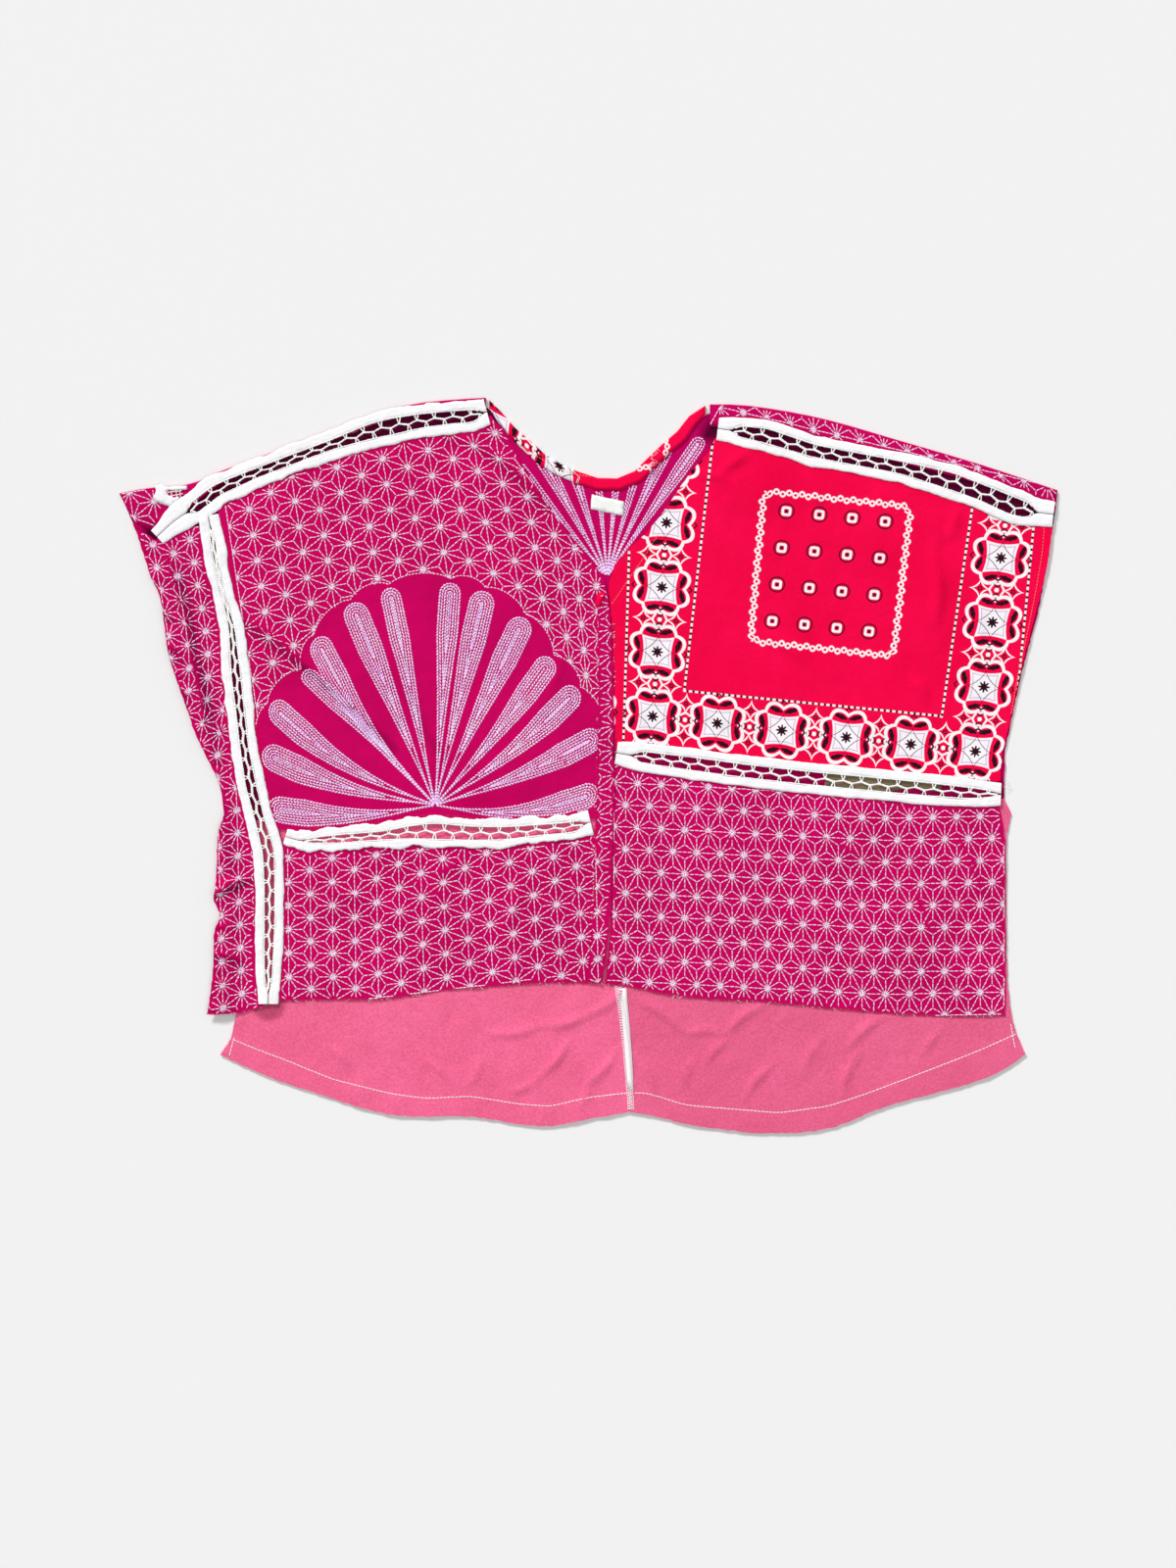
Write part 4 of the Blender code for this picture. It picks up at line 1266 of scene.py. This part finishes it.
def tape_mesh(strip):
    """Both tapes of a strip, as closed bands with soft edges."""
    verts, faces = [], []
    size = 2 * len(TAPE_PROFILE)
    for side in (1, -1):
        outer_wave = wander(len(strip.at), TAPES[strip.name][1])
        inner_wave = wander(len(strip.at), 0.9)
        lift = wander(len(strip.at), 0.5)
        first = len(verts)
        for k, run in enumerate(strip.at):
            outer = strip.width(run) / 2 + outer_wave[k]
            inner = strip.net_half(run) + min(inner_wave[k], 0.6) * strip.open_share(run)
            ring = [(share, LACE_LOW + 0.25 + (LACE_TOP - LACE_LOW - 0.35) * level + lift[k])
                    for share, level in TAPE_PROFILE]
            ring += [(share, LACE_LOW) for share, _ in reversed(TAPE_PROFILE)]
            for share, z in ring:
                x, y = strip.place(run, side * (inner + (outer - inner) * share))
                verts.append((x * MM, y * MM, z * MM))
        final = first + (len(strip.at) - 1) * size
        for one in range(first, final, size):
            for m in range(size):
                n = (m + 1) % size
                quad = (one + m, one + n, one + size + n, one + size + m)
                faces.append(quad if side > 0 else quad[::-1])
        faces.append(tuple(range(first, first + size))[::-side])
        faces.append(tuple(range(final, final + size))[::side])
    mesh = bpy.data.meshes.new("tape")
    mesh.from_pydata(verts, [], faces)
    mesh.shade_smooth()
    mesh.set_sharp_from_angle(angle=math.radians(70))
    return mesh


# %% Net
CORD_LEVEL, POST_LEVEL, RIM_LEVEL = 3.75, 3.70, 3.90
ZIGZAG = 0.18
POST_OVERLAP = 0.8


def net_lines(strip):
    """The net's cords as short overlapping stitches in mm: x, y and z of both ends."""
    lines = []

    def cord(points, level, strands=1, spread=0.0):
        for strand in range(strands):
            shift = (strand - (strands - 1) / 2) * spread
            path = [strip.place(*point) + (shift, shift * 0.4) for point in points]
            for start, end in path_stitches(path, 2.0, 0.0, 0.12):
                lines.append(((*start, level), (*end, level + dice.uniform(-0.12, 0.12))))

    count = int((strip.last - strip.first) / NET_PITCH) + 1
    runs = np.linspace(strip.first, strip.last, 2 * count + 1)
    half = [strip.net_half(run) for run in runs]
    middle = [(run, (ZIGZAG if k % 2 else -ZIGZAG) * half[k] + dice.uniform(-0.25, 0.25))
              for k, run in enumerate(runs)]
    cord(middle, CORD_LEVEL, 2, 0.95)
    for k, (run, offset) in enumerate(middle):
        reach = half[k] + POST_OVERLAP
        side = 1 if k % 2 else -1
        lean = dice.uniform(-0.8, 0.8)
        for way in (-1, 1):
            post = [(run + way * 0.3, offset), (run + way * 2.0 + lean, side * reach)]
            cord(post, POST_LEVEL)
    for side in (1, -1):
        runs = np.arange(strip.first, strip.last, 3.0)
        cord([(run, side * (strip.net_half(run) - 0.1)) for run in runs], RIM_LEVEL)
    return lines


# %% The five strips
strips = {name: Strip(name) for name in LACES}
for number, (name, strip) in enumerate(strips.items()):
    add_piece(name + "_tapes", tape_mesh(strip), lace_thread, (name,))
    cords = np.array(net_lines(strip)) * MM
    sew(name + "_net", net_thread, cords, 1.75 * MM, 0.9 * MM, 40 + number, 1.5)

# %% [markdown]
# ## Edges folded round the shoulders
# The shoulder yokes and the neck binding are folded over the edge of the back, so each is thick
# and round at the fold. The frame's own piece has that shape. A copy of it is divided finely and
# relaxed, which gives the soft roll of a pressed fold, and the sewing comes on top.


# %% Folded pieces
def soft_copy(name, node, material, cuts=2, rounds=3, size=0.0003, seed=1, uv=None,
              wave=0.03):
    """The frame's piece, divided finely and relaxed, with soft random waves in it."""
    body = merged_copy(node)
    bmesh.ops.subdivide_edges(body, edges=body.edges, cuts=cuts, use_grid_fill=True)
    for _ in range(rounds):
        bmesh.ops.smooth_vert(body, verts=body.verts, factor=0.4, use_axis_x=False,
                              use_axis_y=False, use_axis_z=True)
    points = np.array([v.co[:] for v in body.verts])
    shift = ripple(points[:, :2], wave, size, seed)
    for vert, move in zip(body.verts, shift):
        vert.co.z = max(vert.co.z + float(move) * min(vert.co.z / 0.0015, 1.0), 0.0)
    mesh = bpy.data.meshes.new(name)
    body.to_mesh(mesh)
    body.free()
    mesh.shade_smooth()
    mesh.set_sharp_from_angle(angle=math.radians(50))
    if uv is not None:
        add_print(mesh, uv)
    print(name, "has", len(mesh.polygons), "faces")
    return add_piece(name, mesh, material, (node,))


def binding_units(x, y):
    """The left end of the binding is cut from the bandana's border, the rest from plain red."""
    x, y = x / MM, y / MM
    if x < -9:
        return (x + 90) / PRINT_STEP - 0.1, (y - 300 + 0.62 * (x + 72)) / PRINT_STEP + 0.05
    if x > 60:
        return 3.58 + (x - 70) / 50, 2.3 + (y - 284) / PRINT_STEP
    if 42 < x < 58:
        return 2.4 + (x - 49) / PRINT_STEP, 1.32 + (y - 267) / 50
    return 1.0 + x / 900, 0.9 + y / 900


# %% The four folded pieces
STRIP_RIGHT, STRIP_TOP, BANDANA_END = 13.5 * MM, 150 * MM, -6 * MM


def strip_edge(outline):
    """The strip's right edge, moved out so that it covers the joint with the right panels."""
    outline = outline.copy()
    for point in outline:
        if point[0] > STRIP_RIGHT and point[1] < STRIP_TOP:
            point[0] += (2.2 if point[1] < BANDANA_END else 1.2) * MM
    return outline


def strip_bend(across, down):
    """The strip down the middle was cut from the same cloth and is a little crumpled."""
    return 2.0 + across + 0.02 * down, 150.0 - down + 0.2 * across + 0.8 * math.sin(down / 17)


folds = {
    "yoke_left": soft_copy("yoke_left_fold", "yoke_left", star_cloth),
    "yoke_right": soft_copy("yoke_right_fold", "yoke_right", star_cloth),
    "binding": soft_copy("binding_fold", "neck_binding", bandana_cloth,
                         uv=binding_units, size=0.0007, wave=0.011, seed=4),
    "centre": cloth_panel("centre_fold", "front_centre_strip", star_cloth,
                          spacing=0.003, shake=0.0006, soften=4, uneven=0.0005, seed=33,
                          wider=strip_edge),
}
surface.update({name: top_of(piece) for name, piece in folds.items()})
sew_stars("yoke_right_stars", "yoke_right", yoke_bend, (-4, 4), (-1, 16), 24, 21, 51)
sew_stars("yoke_left_stars", "yoke_left", fan_bend, (-10, 4), (-5, 8), 20.5, 22.9, 52)
sew_stars("centre_stars", "centre", strip_bend, (-1, 3), (-1, 18), 19.4, 21.6, 53)

# %% [markdown]
# ## Hems and seams on the pink back
# The pink cloth is turned up once at the hem and held by one row of white stitches. The seam down
# the middle of the back is overlocked: a white thread runs from side to side over the raw edge,
# so close that it hides the cloth. The same tree sews both, with other lines.

# %% Hem stitches
HEM_ROW_LEFT = (
    (-319, -246), (-300, -254), (-273, -264), (-229, -282), (-176, -295), (-146, -299),
    (-106, -297), (-62, -304), (-34, -306), (0, -298), (35, -294),
)
HEM_ROW_RIGHT = (
    (41, -294), (52, -294), (88, -305), (123, -308), (171, -312), (215, -306), (246, -296),
    (294, -278), (338, -261), (360, -252), (384, -241),
)
CORNER_ROWS = (((-318, -244), (-323, -264)), ((379, -232), (383, -254)))
HEM_STITCH = 3.4


def eased_path(table, step=2.0):
    """A path in mm through a table's points, with its corners relaxed."""
    runs = run_lengths(table)
    at = np.linspace(0, runs[-1], max(3, int(runs[-1] / step)))
    return relaxed(at_run(table, runs, at), 8)


white_thread = thread_material("white_cotton", (0.95, 0.90, 0.92))
pink_surfaces = [surface["back_low_left"], surface["back_low_right"]]
rows = [eased_path(HEM_ROW_LEFT), eased_path(HEM_ROW_RIGHT), *CORNER_ROWS]
lines = [line for row in rows for line in path_stitches(row, HEM_STITCH, -0.4, 0.12)]
lines = laid(lines, pink_surfaces, 0.1 * MM)
sew("hem_stitches", white_thread, lines, 1.15 * MM, 0.5 * MM, 61, uneven=0.2)

# %% Overlocked seam
SEAM_ROW = ((26, -196), (30, -222), (34, -256), (36, -280), (38, -302), (38, -309))
SEAM_HALF = 2.6
SEAM_PITCH = 1.15

seam_strip = soft_copy(
    "seam_cover", "back_seam_edge", white_thread, cuts=1, size=0.0001
)
path = eased_path(SEAM_ROW, SEAM_PITCH)
reach = leftward(path) * SEAM_HALF
edge = [p + r * (1 if k % 2 else -1) for k, (p, r) in enumerate(zip(path, reach))]
lines = list(zip(edge[:-1], edge[1:]))
for row in (path + reach, path - reach):
    lines += path_stitches(row, 2.4, 0.2, 0.1)
lines = laid(lines, [*pink_surfaces, top_of(seam_strip)], 0.15 * MM)
sew("seam_overlock", white_thread, lines, 1.0 * MM, 0.5 * MM, 62, 1.1)

# %% [markdown]
# ## Raw edges
# The magenta panels were torn, not hemmed, so threads stand out from their edges. Each fray is a
# short stitch that starts on the cloth and leans out over its edge. Beside the lace they lie
# close together, like a ragged seam, and at the hem they are fewer and longer, with white ends
# of the star threads among them.


# %% Frays
FRONT_TOP = 2.7


def frays(path, low, high, count, outward, lean=0.8):
    """Short lines across a path, to its left, at random places and slants."""
    runs = run_lengths(path)
    lines = []
    for _ in range(count):
        run = dice.uniform(0, runs[-1])
        at = at_run(path, runs, run)
        way = at_run(path, runs, run + 1) - at_run(path, runs, run - 1)
        way /= max(np.linalg.norm(way), 1e-6)
        out = np.array([-way[1], way[0]]) * outward
        out = out + way * dice.uniform(-lean, lean)
        out /= np.linalg.norm(out)
        lines.append((at - out, at + out * dice.uniform(low, high)))
    return lines


def hanging(lines, surfaces, drop):
    """Frays in metres: the inner end on the cloth and the outer end a little lower."""
    result = []
    for start, end in np.array(lines) * MM:
        top = top_height(surfaces, *start, FRONT_TOP * MM)
        result.append(((*start, top + 0.0001), (*end, max(top - drop * MM, 0.0003))))
    return result


def lower_edge(node):
    """The part of a piece's outline that faces down the garment, from left to right, in mm."""
    loop = plan_loops(node)[0] / MM
    first = int(np.argmin(loop[:, 0] + loop[:, 1] * 0.9))
    last = int(np.argmax(loop[:, 0] - loop[:, 1] * 0.9))
    if last < first:
        last += len(loop)
    return np.array([loop[k % len(loop)] for k in range(first, last + 1)])


# %% Frays at the hem
magenta_thread = thread_material("magenta_thread", (0.62, 0.004, 0.10))
hem_nodes = (("front_left_band", "left_band"), ("front_right_band", "right_band"),
             ("front_left_side", "left_side"))
magenta_frays, white_frays = [], []
for node, panel in hem_nodes:
    edge = lower_edge(node)
    span = run_lengths(edge)[-1]
    short = frays(edge, 0.5, 1.8, int(span * 1.1), -1)
    magenta_frays += hanging(short, [surface[panel]], 0.4)
    ends = frays(edge, 1.0, 4.5, int(span * 0.10), -1, 1.6)
    white_frays += hanging(ends, [surface[panel]], 0.8)

# %% Frays beside the lace and the centre strip
cloth_below = [surface[name] for name in ("fan_panel", "left_band", "left_side", "right_band",
                                         "bandana", "yoke_left", "yoke_right")]
EDGE_SIDES = (
    # strip, side of it, first and last share
    ("lace_left_shoulder", -1, 0.12, 0.98), ("lace_left_side", 1, 0.05, 0.98),
    ("lace_left_side", -1, 0.2, 0.98), ("lace_under_fan", 1, 0.05, 0.98),
    ("lace_under_fan", -1, 0.05, 0.98), ("lace_under_bandana", -1, 0.02, 0.98),
    ("lace_right_shoulder", 1, 0.02, 0.4),
)
CENTRE_EDGES = ((((10, 128), (10, 60), (7, -40), (4, -150)), -1),
                (((22, 128), (23, 60), (24, 0)), 1))
for name, side, first, last in EDGE_SIDES:
    strip = strips[name]
    runs = np.linspace(first * strip.length, last * strip.length, 80)
    path = [strip.place(run, side * (strip.width(run) / 2 - 0.2)) for run in runs]
    span = (last - first) * strip.length
    short = frays(path, 0.9, 2.6, int(span * 1.2), side)
    magenta_frays += hanging(short, cloth_below, -0.1)
for path, side in CENTRE_EDGES:
    short = frays(path, 0.8, 2.4, 260, side)
    magenta_frays += hanging(short, cloth_below, -0.1)
    white_frays += hanging(frays(path, 1.0, 3.2, 26, side), cloth_below, -0.1)
LOOSE_ENDS = (((372, -12), (379, -17)), ((373, -16), (381, -21)), ((372, -19), (379, -23)))
white_frays += [((x0 * MM, y0 * MM, 0.003), (x1 * MM, y1 * MM, 0.0012))
                for (x0, y0), (x1, y1) in LOOSE_ENDS]
sew("magenta_frays", magenta_thread, magenta_frays, 0.8 * MM, 0.5 * MM, 63, uneven=0.5)
sew("white_frays", white_thread, white_frays, 0.55 * MM, 0.4 * MM, 64, uneven=0.4)

# %% [markdown]
# ## Label, lace end and topstitching
# The neck label is a small woven tape with nothing on it. A scrap of the lace shows at the left
# shoulder, where the end of the strip was turned under. The label has the outline of the frame's
# piece and the scrap a table of corners, and both are laid on what is below them. The right
# armhole, the right edge of the front opening and the binding have one row of fine stitches each,
# close to the fold.

# %% Small pieces
def scrap(name, corners, below, material, nodes=(), uv=None, thick=0.0005):
    """A small piece of cloth with torn edges, laid on the pieces below it."""
    outline = divided(np.array(corners, float) * MM, 0.0015, 0.0003)
    points, triangles = filled(outline, 0.003)
    found = np.array([top_height(below, x, y, 0.0) for x, y in points])
    low = np.maximum(found, np.median(found)) + 0.0001
    top = low + thick + np.abs(ripple(points, 0.012, 0.0003, 3))
    mesh = sheet_mesh(name, points, top, low, triangles)
    if uv is not None:
        add_print(mesh, uv)
    return add_piece(name, mesh, material, nodes)


# %% Label and lace end
label_tape = cloth_material("woven_label", (0.80, 0.82, 0.80), (0.90, 0.92, 0.90), 0.05, 0.3, 0.1)
scrap("neck_label", plan_loops("label")[0] / MM, [surface["back"]], label_tape,
      ("label",), thick=0.0004)
LACE_END_CORNERS = (
    (-390.7, 240.2), (-387.6, 246.4), (-389.4, 250.4), (-383.2, 253.0), (-378.0, 249.9),
    (-368.3, 250.4), (-360.4, 250.8), (-360.4, 247.3), (-367.4, 247.3), (-372.7, 246.4),
    (-376.2, 247.3), (-378.8, 244.6), (-376.2, 242.0), (-371.8, 240.2), (-368.3, 241.1),
    (-366.5, 239.4), (-370.9, 235.0), (-374.4, 231.4), (-380.6, 234.1), (-386.8, 236.7),
)
scrap(
    "lace_turned_end", LACE_END_CORNERS, [surface["yoke_left"], surface["left_side"]], lace_thread,
    ("lace_end",), thick=0.0010,
)
END_CORDS = (
    ((-380.6, 244.6), (-364.8, 246.4)), ((-377.1, 241.1), (-363.9, 243.8)),
    ((-374.4, 249.9), (-373.6, 238.5)), ((-370.0, 249.0), (-369.2, 238.5)),
    ((-366.5, 249.0), (-365.6, 240.2)),
)
lines = [line for row in END_CORDS for line in path_stitches(row, 1.8, 0.0, 0.15)]
lines = laid(lines, [surface["yoke_left"]], 1.0 * MM)
sew("lace_end_cords", net_thread, lines, 1.1 * MM, 0.6 * MM, 65, 1.4)

# %% Topstitching
ARMHOLE_ROW = ((409, 214), (407, 190), (402, 160), (394, 120), (385, 80), (379, 45), (378, 34))
OPENING_ROW = ((19, 142), (34, 164), (48, 184), (63, 208))
BINDING_ROW = (
    (-66, 290), (-52, 281), (-36, 271), (-20, 263), (0, 259), (20, 260), (36, 266), (50, 275),
    (62, 286),
)
orange_thread = thread_material("orange_thread", (0.92, 0.33, 0.14))
rows = [ARMHOLE_ROW, OPENING_ROW]
lines = [line for row in rows for line in path_stitches(eased_path(row), 3.0, 0.4, 0.1)]
lines = laid(lines, [surface["bandana"]], 0.05 * MM, lace_surfaces)
row = path_stitches(eased_path(BINDING_ROW), 2.8, 0.4, 0.1)
lines += laid(row, [surface["binding"]], 0.05 * MM)
sew("topstitches", orange_thread, lines, 0.6 * MM, 0.3 * MM, 66, uneven=0.2)

# %% [markdown]
# ## Shade behind the lace
# Through the openings of the lace strips the inside of the back can be seen, most of all through
# the two shoulder strips. It lies in the shade of two layers there, and that shade is painted: the
# back's mesh stores how near each of its points is to those strips, and its material darkens with
# that number. The left half of the pink back stores painted shade in the same way, under the left
# side strip and the strip under the fan. The two left front panels store painted shade along their
# deepest folds in the same way, and the right half of the pink back is a little darker.

# %% Shade values
BACK_SHADE = (("lace_left_shoulder", 1.0), ("lace_right_shoulder", 1.0), ("lace_left_side", 0.85),
              ("lace_under_bandana", 0.4))
FAN_FOLDS = (
    (-310, 128, -256, 88, 0.40, 4), (-256, 88, -212, 50, 0.55, 4), (-212, 50, -174, 14, 0.40, 4),
    (-128, 292, -97, 283, 0.25, 4), (-97, 283, -62, 256, 0.3, 4), (-62, 256, -38, 228, 0.25, 4),
    (-160, 60, -150, 36, 0.3, 4), (-150, 36, -132, 8, 0.3, 4),
)
SIDE_FOLDS = (
    (-368, 170, -351, 100, 0.42, 6), (-351, 100, -338, 40, 0.45, 6), (-338, 40, -333, 5, 0.35, 6),
    (-334, -118, -304, -105, 0.5, 3), (-396, 148, -376, 130, 0.35, 4),
    (-388, 110, -368, 96, 0.3, 4), (-378, 70, -360, 58, 0.3, 4), (-336, -172, -312, -179, 0.3, 4),
    (-330, -40, -322, -90, 0.25, 6),
)
PINK_SHADE_STRIPS = (("lace_left_side", 0.6), ("lace_under_fan", 0.06))
RIGHT_SHADE = 0.13


def store_shade(mesh, values):
    shade = mesh.attributes.new("shade", "FLOAT", "POINT")
    shade.data.foreach_set("value", values)
    print(mesh.name, "shaded points:", int((values > 0.1).sum()))


def shade_under(mesh, rows):
    """Shades a mesh where it lies under the lace strips given."""
    places = np.array([vert.co.xy for vert in mesh.vertices]) / MM
    values = np.zeros(len(places))
    for name, most in rows:
        line = strips[name].line[:, :2]
        for k, place in enumerate(places):
            away = np.linalg.norm(line - place, axis=1).min()
            values[k] = max(values[k], most * (1.0 - eased(away, 12.0, 18.0)))
    store_shade(mesh, values)


def shade_folds(mesh, folds):
    """Shades deep folds. A row is x0, y0, x1, y1, the most shade and its reach."""
    places = np.array([vert.co.xy for vert in mesh.vertices]) / MM
    values = np.zeros(len(places))
    for x0, y0, x1, y1, most, reach in folds:
        away = np.linalg.norm(from_line(places, x0, y0, x1, y1)[1], axis=1)
        values = np.maximum(values, most * np.exp(-((away / reach) ** 2)))
    store_shade(mesh, values)


shade_folds(panels["left_side"].data, SIDE_FOLDS)
shade_folds(panels["fan_panel"].data, FAN_FOLDS)
shade_under(panels["back"].data, BACK_SHADE)
shade_under(panels["back_low_left"].data, PINK_SHADE_STRIPS)
right_half = panels["back_low_right"].data
store_shade(right_half, np.full(len(right_half.vertices), RIGHT_SHADE))

# %% [markdown]
# ## Two scraps
# A scrap of red cloth is caught under the point of the neck, and behind the lower strip of lace
# on the right a khaki patch mends the back. Both are scraps with torn edges, like the lace's end.

# %% Scraps
TAB_CORNERS = ((5.5, 143), (10, 141.5), (13, 150), (15.5, 154), (12, 156), (7.5, 153))
PATCH_CORNERS = ((214, -5), (240, -8), (270, -11), (318, -14), (316, -24), (290, -20), (262, -25),
                 (212, -18))
scrap(
    "opening_tab", TAB_CORNERS, [surface[n] for n in ("back", "fan_panel", "bandana", "centre")],
    bandana_cloth, uv=lambda x, y: (1.02 + x / 900, 1.2 + y / 900),
)
khaki = cloth_material("khaki_cotton", (0.08, 0.055, 0.03), (0.26, 0.20, 0.12), fleck=0.2)
scrap("back_patch", PATCH_CORNERS, [surface["back"]], khaki)
